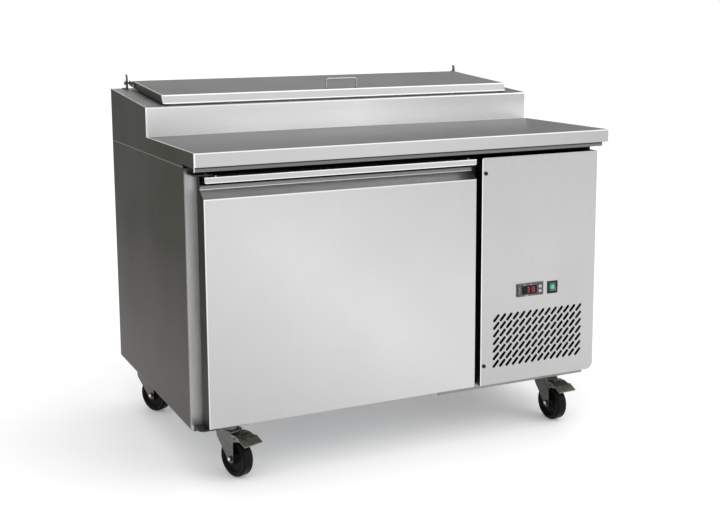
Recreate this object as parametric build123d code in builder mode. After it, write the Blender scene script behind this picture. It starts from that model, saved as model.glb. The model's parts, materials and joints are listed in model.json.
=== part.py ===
"""Refrigerated sandwich prep table with one door, a side machine compartment and a pan well.

Millimetres, +Z up. The origin is on the floor, under the middle of the plan outline.
-Y is the operator's side, where the door, the service panel and the controls are.
"""
from build123d import *
import os
from math import atan2, cos, radians, sin

os.makedirs("parts", exist_ok=True)

# ---------------------------------------------------------------- driving dimensions
WIDTH, DEPTH = 1200, 800
HALF_W, HALF_D = WIDTH / 2, DEPTH / 2
CABINET_Z = 137            # underside of the cabinet, carried on the casters
SEAM_Z = 806               # joint between the cabinet and the top assembly
LIP_Z, COUNTER_Z = 813, 847  # worktop's front lip, bottom and top
CABINET_Y = -315           # front plane of the cabinet
FACE_Y = -372              # front plane of the door and the service panel
RISER_Y = 17               # front of the raised pan box
DECK_FRONT_Z, DECK_REAR_Z = 926, 956
SHEET = 1.0                # stainless panels
TOP_SHEET = 1.2            # worktop sheet
GAP = 0.2                  # clearance between pieces that are fixed together
FOLD_R = 2.5               # outside radius of the sheet metal's folds

STILE_W = 35               # front return of a side panel
WALL = 55                  # insulated wall, sheet to liner
BACK_Y = 390               # outer face of the back panel, recessed between the sides
PARTITION_X = 180          # cold side of the wall between the two compartments
PARTITION_W = 35
MACHINE_ROOF_Z = 766
FLOOR_Z = 193              # floor of the cold compartment
LINER = 0.8
REAR_LINER_Y = 345

DOOR_X = (-569, 190)
DOOR_Z = (157, 783)
DOOR_BACK_Y = -322
RECESS_LOW_Z, RECESS_HIGH_Z, RECESS_Y = 731, 751, -344
FRAME_X = (-538, 165)      # opening in the front frame
FRAME_Z = (197, 765)
DOOR_PIVOT = (-554, -347)
DOOR_PIN_R = 4.0

SERVICE_X = (207, 581)
SERVICE_Z = (156, 786)

WELL_X = 530               # half width of the pan well
WELL_Y = (50, 364)
PAN_MID_U = 190            # middle of the pans, up the sloped deck from the riser
PAN_COUNT, PAN_PITCH = 6, 176.4
PAN_L, PAN_W, PAN_DEPTH = 325, 175.4, 100
DECK_OPENING = (1046, 310)

LID_HALF_W = 545
LID_PROFILE = ((41, 932), (57, 955), (360, 979), (372, 962))
LID_PIVOT = (385, 972)
LID_BOLT_R = 3.0

CASTER_TRAIL = 35
WHEEL_R, WHEEL_HALF_W = 50, 16
AXLE_R = 4.0
KINGPIN_R = 5.0
CASTERS = {                # swivel centre and heading of the trail, in degrees from -Y towards +X
    "front_left": (-489, -275, 19),
    "front_right": (489, -273, 3),
    "rear_left": (-545, 300, 28),
    "rear_right": (545, 300, -12),
}

CONDENSER_MID = (382, 285)
CONDENSER_FAN_R = 92
EVAPORATOR_MID = (20, 660)
EVAPORATOR_FAN_R = 56
BLADE_PITCH = radians(28)

CONTROLLER_MID = (363.5, 412)
SWITCH_MID = (438.5, 410.5)

deck_slope = atan2(DECK_REAR_Z - DECK_FRONT_Z, HALF_D - RISER_Y)
DECK = Plane(origin=(0, RISER_Y, DECK_FRONT_Z), x_dir=(1, 0, 0), z_dir=(0, -sin(deck_slope), cos(deck_slope)))


def deck_z(y):
    """Height of the sloped deck's upper surface at a given depth."""
    return DECK_FRONT_Z + (y - RISER_Y) * (DECK_REAR_Z - DECK_FRONT_Z) / (HALF_D - RISER_Y)


def block(x_range, y_range, z_range, mode=Mode.ADD):
    """Add or cut a rectangular block between two limits on each axis."""
    spans = [sorted(limits) for limits in (x_range, y_range, z_range)]
    middle = [(low + high) / 2 for low, high in spans]
    size = [high - low for low, high in spans]
    with Locations(tuple(middle)):
        Box(*size, mode=mode)


def rod(start, end, radius, mode=Mode.ADD):
    """Add or cut a round bar that runs straight from one point to another."""
    along = Vector(*end) - Vector(*start)
    with BuildSketch(Plane(origin=start, z_dir=tuple(along))) as section:
        Circle(radius)
    extrude(section.sketch, amount=along.length, mode=mode)


def prism_x(points, x_range, mode=Mode.ADD, folds=(), fold_r=0.0):
    """Add or cut a prism along X with an outline given as (y, z) points, with some of its corners rounded."""
    with BuildSketch(Plane.YZ.offset(x_range[0])) as section:
        with BuildLine():
            Polyline(*points, close=True)
        make_face()
        if folds:
            at_fold = [
                v for v in section.vertices() if any(abs(v.Y - y) + abs(v.Z - z) < 0.01 for y, z in folds)
            ]
            fillet(at_fold, fold_r)
    extrude(section.sketch, amount=x_range[1] - x_range[0], mode=mode)


def save(piece, name):
    """Label a finished piece and write its STEP file."""
    piece.part.label = name
    export_step(piece.part, f"parts/{name}.step")


def save_placed(piece, name, x, y, heading):
    """Turn and move a piece made about its own swivel axis, then write it."""
    placed = piece.part.moved(Location((x, y, 0), (0, 0, heading)))
    placed.label = name
    export_step(placed, f"parts/{name}.step")


# ---------------------------------------------------------------- cabinet casing
def side_panel(side):
    """One outer side with its front stile and bottom flange folded from the same sheet."""
    outer, inner = side * HALF_W, side * (HALF_W - STILE_W)
    with BuildPart() as panel:
        block((outer, inner), (CABINET_Y, HALF_D), (CABINET_Z, SEAM_Z - GAP))
        long_edges = panel.edges().filter_by(Axis.Y).group_by(Axis.Z)[0]
        fillet(long_edges.sort_by(Axis.X)[0 if side < 0 else -1], 12)
        front_edges = panel.edges().filter_by(Axis.Z).group_by(Axis.Y)[0]
        fillet(front_edges.sort_by(Axis.X)[0 if side < 0 else -1], 3)
        flats = panel.faces()
        inner_face = flats.filter_by(Axis.X).sort_by(Axis.X)[-1 if side < 0 else 0]
        rear_face = flats.filter_by(Axis.Y).sort_by(Axis.Y)[-1]
        top_face = flats.filter_by(Axis.Z).sort_by(Axis.Z)[-1]
        offset(amount=-SHEET, openings=[inner_face, rear_face, top_face])
    return panel


save(side_panel(-1), "left_side_panel")
save(side_panel(1), "right_side_panel")

VENT_X, VENT_Z = (260, 540), (430, 640)
VENT_LAP = 12
GLAND_X, GLAND_Z, GLAND_R = 500, 205, 9
BACK_HALF_W = HALF_W - SHEET - GAP
with BuildPart() as back_panel:
    block((-BACK_HALF_W, BACK_HALF_W), (BACK_Y - SHEET, BACK_Y), (CABINET_Z + 11.2, SEAM_Z - GAP))
    vent_hole_x = (VENT_X[0] + VENT_LAP, VENT_X[1] - VENT_LAP)
    vent_hole_z = (VENT_Z[0] + VENT_LAP, VENT_Z[1] - VENT_LAP)
    block(vent_hole_x, (BACK_Y - 5, BACK_Y + 5), vent_hole_z, Mode.SUBTRACT)
    rod((GLAND_X, BACK_Y - 5, GLAND_Z), (GLAND_X, BACK_Y + 5, GLAND_Z), GLAND_R + GAP, Mode.SUBTRACT)
save(back_panel, "back_panel")

with BuildPart() as rear_vent_panel:
    block(VENT_X, (BACK_Y + 0.1, BACK_Y + 1.6), VENT_Z)
    vent_mid = Plane(origin=(sum(VENT_X) / 2, BACK_Y, sum(VENT_Z) / 2), x_dir=(1, 0, 0), z_dir=(0, 1, 0))
    with BuildSketch(vent_mid):
        with GridLocations(84, 17, 3, 10):
            SlotOverall(68, 7)
    extrude(amount=5, mode=Mode.SUBTRACT)
save(rear_vent_panel, "rear_vent_panel")

with BuildPart() as cord_gland:
    rod((GLAND_X, BACK_Y - 12, GLAND_Z), (GLAND_X, BACK_Y + 1, GLAND_Z), GLAND_R)
    with BuildSketch(Plane(origin=(GLAND_X, BACK_Y + 0.1, GLAND_Z), z_dir=(0, 1, 0))):
        RegularPolygon(13, 6)
    extrude(amount=4)
    rod((GLAND_X, BACK_Y + 4, GLAND_Z), (GLAND_X, BACK_Y + 9.5, GLAND_Z), 9.5)
    fillet(cord_gland.edges().sort_by(Axis.Y)[-1], 3)
    with BuildSketch(Plane(origin=(GLAND_X, BACK_Y - SHEET - 5, GLAND_Z), z_dir=(0, 1, 0))):
        RegularPolygon(13, 6)
    extrude(amount=4.8)
    rod((GLAND_X, BACK_Y - 15, GLAND_Z), (GLAND_X, BACK_Y + 15, GLAND_Z), 4.5, Mode.SUBTRACT)
save(cord_gland, "cord_gland")

CASING_INNER_X = HALF_W - STILE_W - GAP
MACHINE_X = PARTITION_X + PARTITION_W
with BuildPart() as base_pan:
    pan_y = (CABINET_Y + SHEET, BACK_Y - SHEET - GAP)
    block((-CASING_INNER_X, MACHINE_X - GAP), pan_y, (CABINET_Z, CABINET_Z + SHEET))
save(base_pan, "base_pan")

TRAY_LIP_X = (109, 586)
TRAY_LIP_Z = (128, 155)
with BuildPart() as machine_tray:
    tray_front_y = CABINET_Y - GAP
    block((MACHINE_X, CASING_INNER_X), (tray_front_y, BACK_Y - SHEET - GAP), (CABINET_Z, CABINET_Z + 1.5))
    block(TRAY_LIP_X, (tray_front_y - 1.8, tray_front_y), TRAY_LIP_Z)
    block(TRAY_LIP_X, (tray_front_y - 1.8, tray_front_y + 7), (TRAY_LIP_Z[0], TRAY_LIP_Z[0] + 1.2))
save(machine_tray, "machine_tray")

INNER_X = HALF_W - SHEET - 2 * GAP
COLD_X = (-HALF_W + WALL, PARTITION_X)
BACK_FOAM_Y = BACK_Y - SHEET - GAP
PIPE_Y, PIPE_Z = 120, 640
with BuildPart() as cabinet_insulation:
    block((-HALF_W + 14, MACHINE_X - GAP), (CABINET_Y + 2, BACK_FOAM_Y), (CABINET_Z + 1.2, FLOOR_Z - GAP))
    block((-INNER_X, COLD_X[0] - GAP), (CABINET_Y + 2, REAR_LINER_Y), (FLOOR_Z, SEAM_Z - GAP))
    block((-INNER_X, MACHINE_X - GAP), (REAR_LINER_Y + GAP, BACK_FOAM_Y), (FLOOR_Z, SEAM_Z - GAP))
    block((PARTITION_X + GAP, MACHINE_X), (CABINET_Y + 2, REAR_LINER_Y), (FLOOR_Z, MACHINE_ROOF_Z - GAP))
    block((PARTITION_X + GAP, INNER_X), (CABINET_Y + 2, REAR_LINER_Y), (MACHINE_ROOF_Z, LIP_Z - GAP))
    block((MACHINE_X, INNER_X), (REAR_LINER_Y + GAP, BACK_FOAM_Y), (MACHINE_ROOF_Z, SEAM_Z - GAP))
    rod((PARTITION_X - 5, PIPE_Y, PIPE_Z), (MACHINE_X + 5, PIPE_Y, PIPE_Z), 5, Mode.SUBTRACT)
save(cabinet_insulation, "cabinet_insulation")

with BuildPart() as inner_liner:
    liner_y = (CABINET_Y + 2, REAR_LINER_Y)
    liner_z = (FLOOR_Z, SEAM_Z - GAP)
    block(COLD_X, liner_y, (FLOOR_Z, FLOOR_Z + LINER))
    block((COLD_X[0], COLD_X[0] + LINER), liner_y, liner_z)
    block((COLD_X[1] - LINER, COLD_X[1]), liner_y, liner_z)
    block(COLD_X, (REAR_LINER_Y - LINER, REAR_LINER_Y), liner_z)
    rod((PARTITION_X - 5, PIPE_Y, PIPE_Z), (PARTITION_X + 5, PIPE_Y, PIPE_Z), 5, Mode.SUBTRACT)
save(inner_liner, "inner_liner")

with BuildPart() as front_frame:
    frame_y = (CABINET_Y, CABINET_Y + 1.8)
    block((-CASING_INNER_X, FRAME_X[0]), frame_y, FRAME_Z)
    block((FRAME_X[1], MACHINE_X), frame_y, FRAME_Z)
    block((-CASING_INNER_X, MACHINE_X), frame_y, (CABINET_Z + SHEET + GAP, FRAME_Z[0] - GAP))
    block((-CASING_INNER_X, CASING_INNER_X), frame_y, (FRAME_Z[1] + GAP, SEAM_Z - GAP))
save(front_frame, "front_frame")

with BuildPart() as mullion_cover:
    block((DOOR_X[1] + 2, SERVICE_X[0] - 2), (-342, CABINET_Y - GAP), (SERVICE_Z[0], DOOR_Z[1]))
    fillet(mullion_cover.edges().filter_by(Axis.Z).group_by(Axis.Y)[0], 3)
save(mullion_cover, "mullion_cover")

# ---------------------------------------------------------------- worktop and pan well
with BuildPart() as worktop_skin:
    step_outline = (
        (-HALF_D, LIP_Z), (-HALF_D, COUNTER_Z), (RISER_Y, COUNTER_Z), (RISER_Y, DECK_FRONT_Z),
        (HALF_D, DECK_REAR_Z), (HALF_D, SEAM_Z), (CABINET_Y, SEAM_Z), (CABINET_Y, LIP_Z),
    )
    prism_x(step_outline, (-HALF_W, HALF_W), folds=step_outline[1:5], fold_r=FOLD_R)
    fillet(worktop_skin.edges().filter_by(Axis.Z).group_by(Axis.Y)[0], 4)
    offset(amount=-TOP_SHEET, openings=worktop_skin.faces().sort_by(Axis.Z)[0])
    with BuildSketch(DECK.offset(-5)):
        with Locations((0, PAN_MID_U)):
            RectangleRounded(*DECK_OPENING, 10)
    extrude(amount=20, mode=Mode.SUBTRACT)
save(worktop_skin, "worktop_skin")

FOAM_GAP = 0.5             # keeps the foam's sharp edges out of the inside of the folds
FOAM_Y = HALF_D - TOP_SHEET - FOAM_GAP
FOAM_X = HALF_W - TOP_SHEET - GAP
UNDER_DECK = TOP_SHEET + FOAM_GAP


def sloped_block(x_range, y_range, low_z):
    """Add foam between a level underside and the sloped deck."""
    top_a, top_b = (deck_z(y) - UNDER_DECK for y in y_range)
    prism_x(((y_range[0], low_z), (y_range[1], low_z), (y_range[1], top_b), (y_range[0], top_a)), x_range)


with BuildPart() as top_insulation:
    riser_in = RISER_Y + TOP_SHEET + FOAM_GAP
    well_low, well_high = WELL_Y[0] - GAP, WELL_Y[1] + GAP
    counter_foam_z = (LIP_Z + TOP_SHEET + GAP, COUNTER_Z - TOP_SHEET - FOAM_GAP)
    block((-FOAM_X + 5, FOAM_X - 5), (-FOAM_Y, riser_in - GAP), counter_foam_z)
    sloped_block((-FOAM_X, FOAM_X), (riser_in, well_low), LIP_Z + TOP_SHEET + GAP)
    sloped_block((-FOAM_X, FOAM_X), (well_high, FOAM_Y), LIP_Z + GAP)
    beside_well = (WELL_Y[0] + LINER + GAP, WELL_Y[1])
    sloped_block((-FOAM_X, -WELL_X - GAP), beside_well, LIP_Z + GAP)
    sloped_block((WELL_X + GAP, FOAM_X), beside_well, LIP_Z + GAP)
save(top_insulation, "top_insulation")

with BuildPart() as well_liner:
    wall_z = (LIP_Z, DECK_REAR_Z)
    block((-WELL_X, WELL_X), (WELL_Y[0], WELL_Y[0] + LINER), wall_z)
    block((-WELL_X, WELL_X), (WELL_Y[1] - LINER, WELL_Y[1]), wall_z)
    block((-WELL_X, -WELL_X + LINER), WELL_Y, wall_z)
    block((WELL_X - LINER, WELL_X), WELL_Y, wall_z)
    block((PARTITION_X, WELL_X), WELL_Y, (LIP_Z, LIP_Z + LINER))
    block((COLD_X[0] + LINER + GAP, PARTITION_X), (CABINET_Y + 2, WELL_Y[0] + LINER), (LIP_Z, LIP_Z + LINER))
    with BuildSketch(DECK.offset(-UNDER_DECK)):
        Rectangle(3 * WIDTH, 3 * WIDTH)
    extrude(amount=100, mode=Mode.SUBTRACT)
save(well_liner, "well_liner")

DRIP_Y, DRIP_Z = -394, (801.3, 810)
with BuildPart() as drip_rail:
    rail_x = (-HALF_W + 2, HALF_W - 20)
    block(rail_x, (DRIP_Y, DRIP_Y + 1.5), DRIP_Z)
    block(rail_x, (DRIP_Y, CABINET_Y - 4), (DRIP_Z[1], LIP_Z - GAP))
    block(rail_x, (DRIP_Y, DRIP_Y + 10), (DRIP_Z[0], DRIP_Z[0] + 1.5))
save(drip_rail, "drip_rail")

BAR_TOP_W = 1.5
with BuildPart() as pan_divider_bars:
    for joint in range(1, PAN_COUNT):
        bar_x = (joint - PAN_COUNT / 2) * PAN_PITCH
        with BuildSketch(DECK.offset(0.1)):
            with Locations((bar_x, PAN_MID_U)):
                Rectangle(12, DECK_OPENING[1] + 14)
        extrude(amount=BAR_TOP_W - 0.1)
        with BuildSketch(DECK.offset(-8)):
            with Locations((bar_x, PAN_MID_U)):
                Rectangle(3, DECK_OPENING[1] - 4)
        extrude(amount=9)
save(pan_divider_bars, "pan_divider_bars")

with BuildPart() as food_pans:
    for index in range(PAN_COUNT):
        pan_x = (index - (PAN_COUNT - 1) / 2) * PAN_PITCH
        with BuildSketch(DECK.offset(BAR_TOP_W + 0.1)):
            with Locations((pan_x, PAN_MID_U)):
                RectangleRounded(PAN_W, PAN_L, 12)
        extrude(amount=1.2)
        with BuildSketch(DECK.offset(BAR_TOP_W + 0.1)):
            with Locations((pan_x, PAN_MID_U)):
                RectangleRounded(PAN_W - 21, PAN_L - 22, 24)
        with BuildSketch(DECK.offset(BAR_TOP_W - PAN_DEPTH)):
            with Locations((pan_x, PAN_MID_U)):
                RectangleRounded(PAN_W - 35, PAN_L - 36, 22)
        loft()
        with BuildSketch(DECK.offset(BAR_TOP_W + 1.4)):
            with Locations((pan_x, PAN_MID_U)):
                RectangleRounded(PAN_W - 23, PAN_L - 24, 23)
        with BuildSketch(DECK.offset(BAR_TOP_W - PAN_DEPTH + 1)):
            with Locations((pan_x, PAN_MID_U)):
                RectangleRounded(PAN_W - 37, PAN_L - 38, 21)
        loft(mode=Mode.SUBTRACT)
save(food_pans, "food_pans")

# ---------------------------------------------------------------- lid
BRACKET_X = (553.2, 557.0)   # thickness of a bracket's upright, across X
BRACKET_HALF = 8
with BuildPart() as lid_brackets:
    for side in (-1, 1):
        x_low = min(side * BRACKET_X[0], side * BRACKET_X[1])
        x_high = x_low + BRACKET_X[1] - BRACKET_X[0]
        pivot_y, pivot_z = LID_PIVOT
        with BuildSketch(Plane.YZ.offset(x_low)):
            with BuildLine():
                back_y, front_y = pivot_y + BRACKET_HALF, pivot_y - BRACKET_HALF
                Polyline((pivot_y + 4, 986), (back_y, 978), (back_y, 956.8), (front_y, 955.6))
                Polyline((front_y, 955.6), (front_y, 978), (pivot_y - 6, 986))
                ThreePointArc((pivot_y - 6, 986), (pivot_y - 4, 993), (pivot_y, 997))
                ThreePointArc((pivot_y, 997), (pivot_y + 5, 997), (pivot_y + 6, 993))
                ThreePointArc((pivot_y + 6, 993), (pivot_y + 4, 990), (pivot_y + 4, 986))
            make_face()
        extrude(amount=x_high - x_low)
        with BuildSketch(DECK.offset(0.1)):
            with Locations((side * 561, (pivot_y - RISER_Y) / cos(deck_slope) - 1)):
                RectangleRounded(16, 22, 3)
        extrude(amount=2.5)
        with Locations(((x_low + x_high) / 2, pivot_y, pivot_z)):
            Cylinder(LID_BOLT_R + 0.06, 10, rotation=(0, 90, 0), mode=Mode.SUBTRACT)
save(lid_brackets, "lid_brackets")

with BuildPart() as lid_shell:
    prism_x(LID_PROFILE, (-LID_HALF_W, LID_HALF_W), folds=LID_PROFILE[1:3], fold_r=FOLD_R)
    corner_edges = lid_shell.edges().filter_by(lambda e: abs(e.center().X) > LID_HALF_W - 1)
    corners = corner_edges.sort_by(Axis.Y)
    fillet([corners[0], corners[1]], 8)
    underside = lid_shell.faces().sort_by(SortBy.AREA)[-2:].sort_by(Axis.Z)[0]
    offset(amount=-SHEET, openings=underside)
save(lid_shell, "lid_shell")

with BuildPart() as lid_insulation:
    inset = SHEET + 0.4
    half = LID_HALF_W - inset
    with BuildSketch(Plane.YZ.offset(-half)):
        with BuildLine():
            Polyline(*LID_PROFILE, close=True)
        make_face()
        offset(amount=-inset, kind=Kind.INTERSECTION)
    extrude(amount=2 * half)
    corners = lid_insulation.edges().filter_by(lambda e: abs(e.center().X) > half - 1).sort_by(Axis.Y)
    fillet([corners[0], corners[1]], 7)
save(lid_insulation, "lid_insulation")

LOOP_Y, LOOP_HALF_W, LOOP_RISE, LOOP_R = 74, 48, 27, 3
with BuildPart() as lid_handle:
    loop_z = 956.8
    with BuildLine():
        FilletPolyline(
            (-LOOP_HALF_W, LOOP_Y, loop_z), (-LOOP_HALF_W, LOOP_Y, loop_z + LOOP_RISE),
            (LOOP_HALF_W, LOOP_Y, loop_z + LOOP_RISE), (LOOP_HALF_W, LOOP_Y, loop_z), radius=8,
        )
    with BuildSketch(Plane.XY.offset(loop_z)):
        with Locations((-LOOP_HALF_W, LOOP_Y)):
            Circle(LOOP_R)
    sweep()
save(lid_handle, "lid_handle")

with BuildPart() as lid_pivot_arms:
    pivot_y, pivot_z = LID_PIVOT
    for side in (-1, 1):
        arm_x = side * (LID_HALF_W + GAP)
        with BuildSketch(Plane.YZ.offset(min(arm_x, arm_x + side * 3))):
            with BuildLine():
                Polyline((pivot_y, pivot_z + 7), (330, 971), (330, 961), (350, 961), (pivot_y, pivot_z - 7))
                ThreePointArc((pivot_y, pivot_z - 7), (pivot_y + 7, pivot_z), (pivot_y, pivot_z + 7))
            make_face()
        extrude(amount=3)
        rod((arm_x + side * 2, pivot_y, pivot_z), (side * 562, pivot_y, pivot_z), LID_BOLT_R)
        rod((side * 557.5, pivot_y, pivot_z), (side * 563, pivot_y, pivot_z), 5.2)
save(lid_pivot_arms, "lid_pivot_arms")

# ---------------------------------------------------------------- door
def door_outline():
    """Side profile of the door with the finger recess under the handle rail, as (y, z) points."""
    return (
        (FACE_Y, DOOR_Z[0]), (FACE_Y, RECESS_LOW_Z), (RECESS_Y, RECESS_HIGH_Z), (RECESS_Y, DOOR_Z[1]),
        (DOOR_BACK_Y, DOOR_Z[1]), (DOOR_BACK_Y, DOOR_Z[0]),
    )


PIN_X, PIN_Y = DOOR_PIVOT
LOW_PIN_Z = (146, 192)
with BuildPart() as door_skin:
    prism_x(door_outline(), DOOR_X, folds=door_outline()[1:3], fold_r=FOLD_R)
    face_corners = door_skin.edges().filter_by(Axis.Z).group_by(Axis.Y)[0]
    fillet(face_corners, 2)
    offset(amount=-SHEET, openings=door_skin.faces().sort_by(Axis.Y)[-1])
    rod((PIN_X, PIN_Y, DOOR_Z[0] - 5), (PIN_X, PIN_Y, DOOR_Z[0] + 5), DOOR_PIN_R + GAP, Mode.SUBTRACT)
save(door_skin, "door_skin")

with BuildPart() as door_core:
    core_x = (DOOR_X[0] + SHEET + GAP, DOOR_X[1] - SHEET - GAP)
    with BuildSketch(Plane.YZ.offset(core_x[0])):
        with BuildLine():
            Polyline(*door_outline(), close=True)
        make_face()
        offset(amount=-SHEET - GAP, kind=Kind.INTERSECTION)
    extrude(amount=core_x[1] - core_x[0])
    face_corners = door_core.edges().filter_by(Axis.Z).group_by(Axis.Y)[0]
    fillet(face_corners, 2)
    rod((PIN_X, PIN_Y, DOOR_Z[0]), (PIN_X, PIN_Y, LOW_PIN_Z[1] + 1), DOOR_PIN_R + GAP, Mode.SUBTRACT)
save(door_core, "door_core")

with BuildPart() as door_liner:
    block(core_x, (DOOR_BACK_Y - SHEET, DOOR_BACK_Y), (DOOR_Z[0] + SHEET + GAP, DOOR_Z[1] - SHEET - GAP))
    pad_x = (FRAME_X[0] + 12, FRAME_X[1] - 12)
    pad_z = (FRAME_Z[0] + 12, FRAME_Z[1] - 12)
    block(pad_x, (DOOR_BACK_Y, DOOR_BACK_Y + 9), pad_z)
    fillet(door_liner.edges().group_by(Axis.Y)[-1], 5)
save(door_liner, "door_liner")

with BuildPart() as door_gasket:
    gasket_y = (DOOR_BACK_Y + 0.1, CABINET_Y - 0.3)
    block((FRAME_X[0] - 15, FRAME_X[1] + 16), gasket_y, (FRAME_Z[0] - 16, FRAME_Z[1] + 16))
    inside_x, inside_z = (FRAME_X[0] - 1, FRAME_X[1] + 2), (FRAME_Z[0] - 2, FRAME_Z[1] + 2)
    block(inside_x, (gasket_y[0] - 5, gasket_y[1] + 5), inside_z, Mode.SUBTRACT)
    fillet(door_gasket.edges().group_by(Axis.Y)[-1], 2)
save(door_gasket, "door_gasket")

RAIL_X = (-565, 189)
RAIL_Z = (769, 784.6)
with BuildPart() as door_handle_rail:
    block(RAIL_X, (FACE_Y, DOOR_BACK_Y), (RAIL_Z[1] - 1.5, RAIL_Z[1]))
    block(RAIL_X, (FACE_Y, FACE_Y + 1.5), RAIL_Z)
    block(RAIL_X, (FACE_Y, FACE_Y + 5), (RAIL_Z[0], RAIL_Z[0] + 1.5))
    fillet(door_handle_rail.edges().filter_by(Axis.X).group_by(Axis.Y)[0], 1)
    with BuildSketch(Plane.XZ.offset(-FACE_Y + 10)):
        with Locations((sum(RAIL_X) / 2, RAIL_Z[0] + 25)):
            RectangleRounded(RAIL_X[1] - RAIL_X[0], 50, 5)
    extrude(amount=-80, mode=Mode.INTERSECT)
    for screw_x in (RAIL_X[0] + 30, RAIL_X[1] - 22):
        rod((screw_x, FACE_Y + 9, RAIL_Z[1] + 0.1), (screw_x, FACE_Y + 9, RAIL_Z[1] + 2), 4)
save(door_handle_rail, "door_handle_rail")

TOP_BRACKET_Z, LOW_BRACKET_Z = 787, 150
BRACKET_T = 3
with BuildPart() as door_hinge_pins:
    rod((PIN_X, PIN_Y, LOW_PIN_Z[0]), (PIN_X, PIN_Y, LOW_PIN_Z[1]), DOOR_PIN_R)
    rod((PIN_X, PIN_Y, LOW_BRACKET_Z + BRACKET_T + 0.4), (PIN_X, PIN_Y, DOOR_Z[0] - 0.1), 7)
    rod((PIN_X, PIN_Y, RAIL_Z[1] + 0.1), (PIN_X, PIN_Y, TOP_BRACKET_Z + BRACKET_T + 1.5), DOOR_PIN_R)
    rod((PIN_X, PIN_Y, RAIL_Z[1] + 0.1), (PIN_X, PIN_Y, TOP_BRACKET_Z - 0.4), 7)
save(door_hinge_pins, "door_hinge_pins")

with BuildPart() as door_hinge_brackets:
    leaf_x, leaf_y = (-591, -535), (-363, CABINET_Y - 0.3)
    for plate_z, flange_z in ((LOW_BRACKET_Z, (139, 150)), (TOP_BRACKET_Z, (790, 804))):
        block(leaf_x, leaf_y, (plate_z, plate_z + BRACKET_T))
        block(leaf_x, (leaf_y[1] - BRACKET_T, leaf_y[1]), flange_z)
        rod((PIN_X, PIN_Y, plate_z - 5), (PIN_X, PIN_Y, plate_z + 8), DOOR_PIN_R + 0.08, Mode.SUBTRACT)
    outer_corners = door_hinge_brackets.edges().filter_by(Axis.Z).group_by(Axis.Y)[0]
    fillet(outer_corners, 14)
save(door_hinge_brackets, "door_hinge_brackets")

# ---------------------------------------------------------------- cold compartment fittings
SHELF_Z = 430
PILASTER_Y = (-230, 250)
COLD_INNER_X = (COLD_X[0] + LINER, COLD_X[1] - LINER)
with BuildPart() as shelf_supports:
    for wall_x, inward in ((COLD_INNER_X[0] + 0.1, 1), (COLD_INNER_X[1] - 0.1, -1)):
        for strip_y in PILASTER_Y:
            block((wall_x, wall_x + inward * 5), (strip_y - 9, strip_y + 9), (FLOOR_Z + 20, 560))
            clip_x = wall_x + inward * 5.2
            block((clip_x, clip_x + inward * 14), (strip_y - 8, strip_y + 8), (SHELF_Z - 5, SHELF_Z - 3.2))
            block((clip_x, clip_x + inward * 1.8), (strip_y - 8, strip_y + 8), (SHELF_Z - 22, SHELF_Z - 3.2))
save(shelf_supports, "shelf_supports")

SHELF_X, SHELF_Y = (-533, 169), (-285, 325)
with BuildPart() as wire_shelf:
    shelf_z = (SHELF_Z - 3, SHELF_Z + 3)
    block(SHELF_X, SHELF_Y, shelf_z)
    fillet(wire_shelf.edges().filter_by(Axis.Z), 12)
    block((SHELF_X[0] + 6, SHELF_X[1] - 6), (SHELF_Y[0] + 6, SHELF_Y[1] - 6), shelf_z, Mode.SUBTRACT)
    for bar_y in (-90, 130):
        block((SHELF_X[0] + 2, SHELF_X[1] - 2), (bar_y - 2.5, bar_y + 2.5), (SHELF_Z - 3, SHELF_Z + 1))
    with Locations(((SHELF_X[0] + SHELF_X[1]) / 2, (SHELF_Y[0] + SHELF_Y[1]) / 2, SHELF_Z + 2)):
        with GridLocations(27, 1, 25, 1):
            Box(3.5, SHELF_Y[1] - SHELF_Y[0] - 4, 3.5)
save(wire_shelf, "wire_shelf")

EVAP_X, EVAP_Y, EVAP_Z = (78, COLD_INNER_X[1] - GAP), (-190, 230), (560, 760)
fan_y, fan_z = EVAPORATOR_MID
with BuildPart() as evaporator_housing:
    block(EVAP_X, EVAP_Y, EVAP_Z)
    offset(amount=-SHEET, openings=evaporator_housing.faces().sort_by(Axis.X)[-1])
    rod((EVAP_X[0] - 5, fan_y, fan_z), (EVAP_X[0] + 5, fan_y, fan_z), EVAPORATOR_FAN_R + 5, Mode.SUBTRACT)
    block((EVAP_X[0] + 30, EVAP_X[1] - 10), (EVAP_Y[0] + 30, EVAP_Y[1] - 30), (EVAP_Z[0] - 5, EVAP_Z[0] + 5),
          Mode.SUBTRACT)
    rod((EVAP_X[0] + 23, fan_y, fan_z), (EVAP_X[0] + 42, fan_y, fan_z), 22)
    rod((EVAP_X[0] + 22, fan_y, fan_z), (EVAP_X[0] + 34, fan_y, fan_z), 3.06, Mode.SUBTRACT)
save(evaporator_housing, "evaporator_housing")

with BuildPart() as evaporator_coil:
    coil_x, coil_y, coil_z = (122, 166), (-165, 205), (580, 740)
    block((coil_x[0] + 4, coil_x[1] - 4), coil_y, coil_z)
    with Locations((sum(coil_x) / 2, sum(coil_y) / 2, sum(coil_z) / 2)):
        with GridLocations(1, 8, 1, 46):
            Box(coil_x[1] - coil_x[0], 1.2, coil_z[1] - coil_z[0])
save(evaporator_coil, "evaporator_coil")


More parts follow.
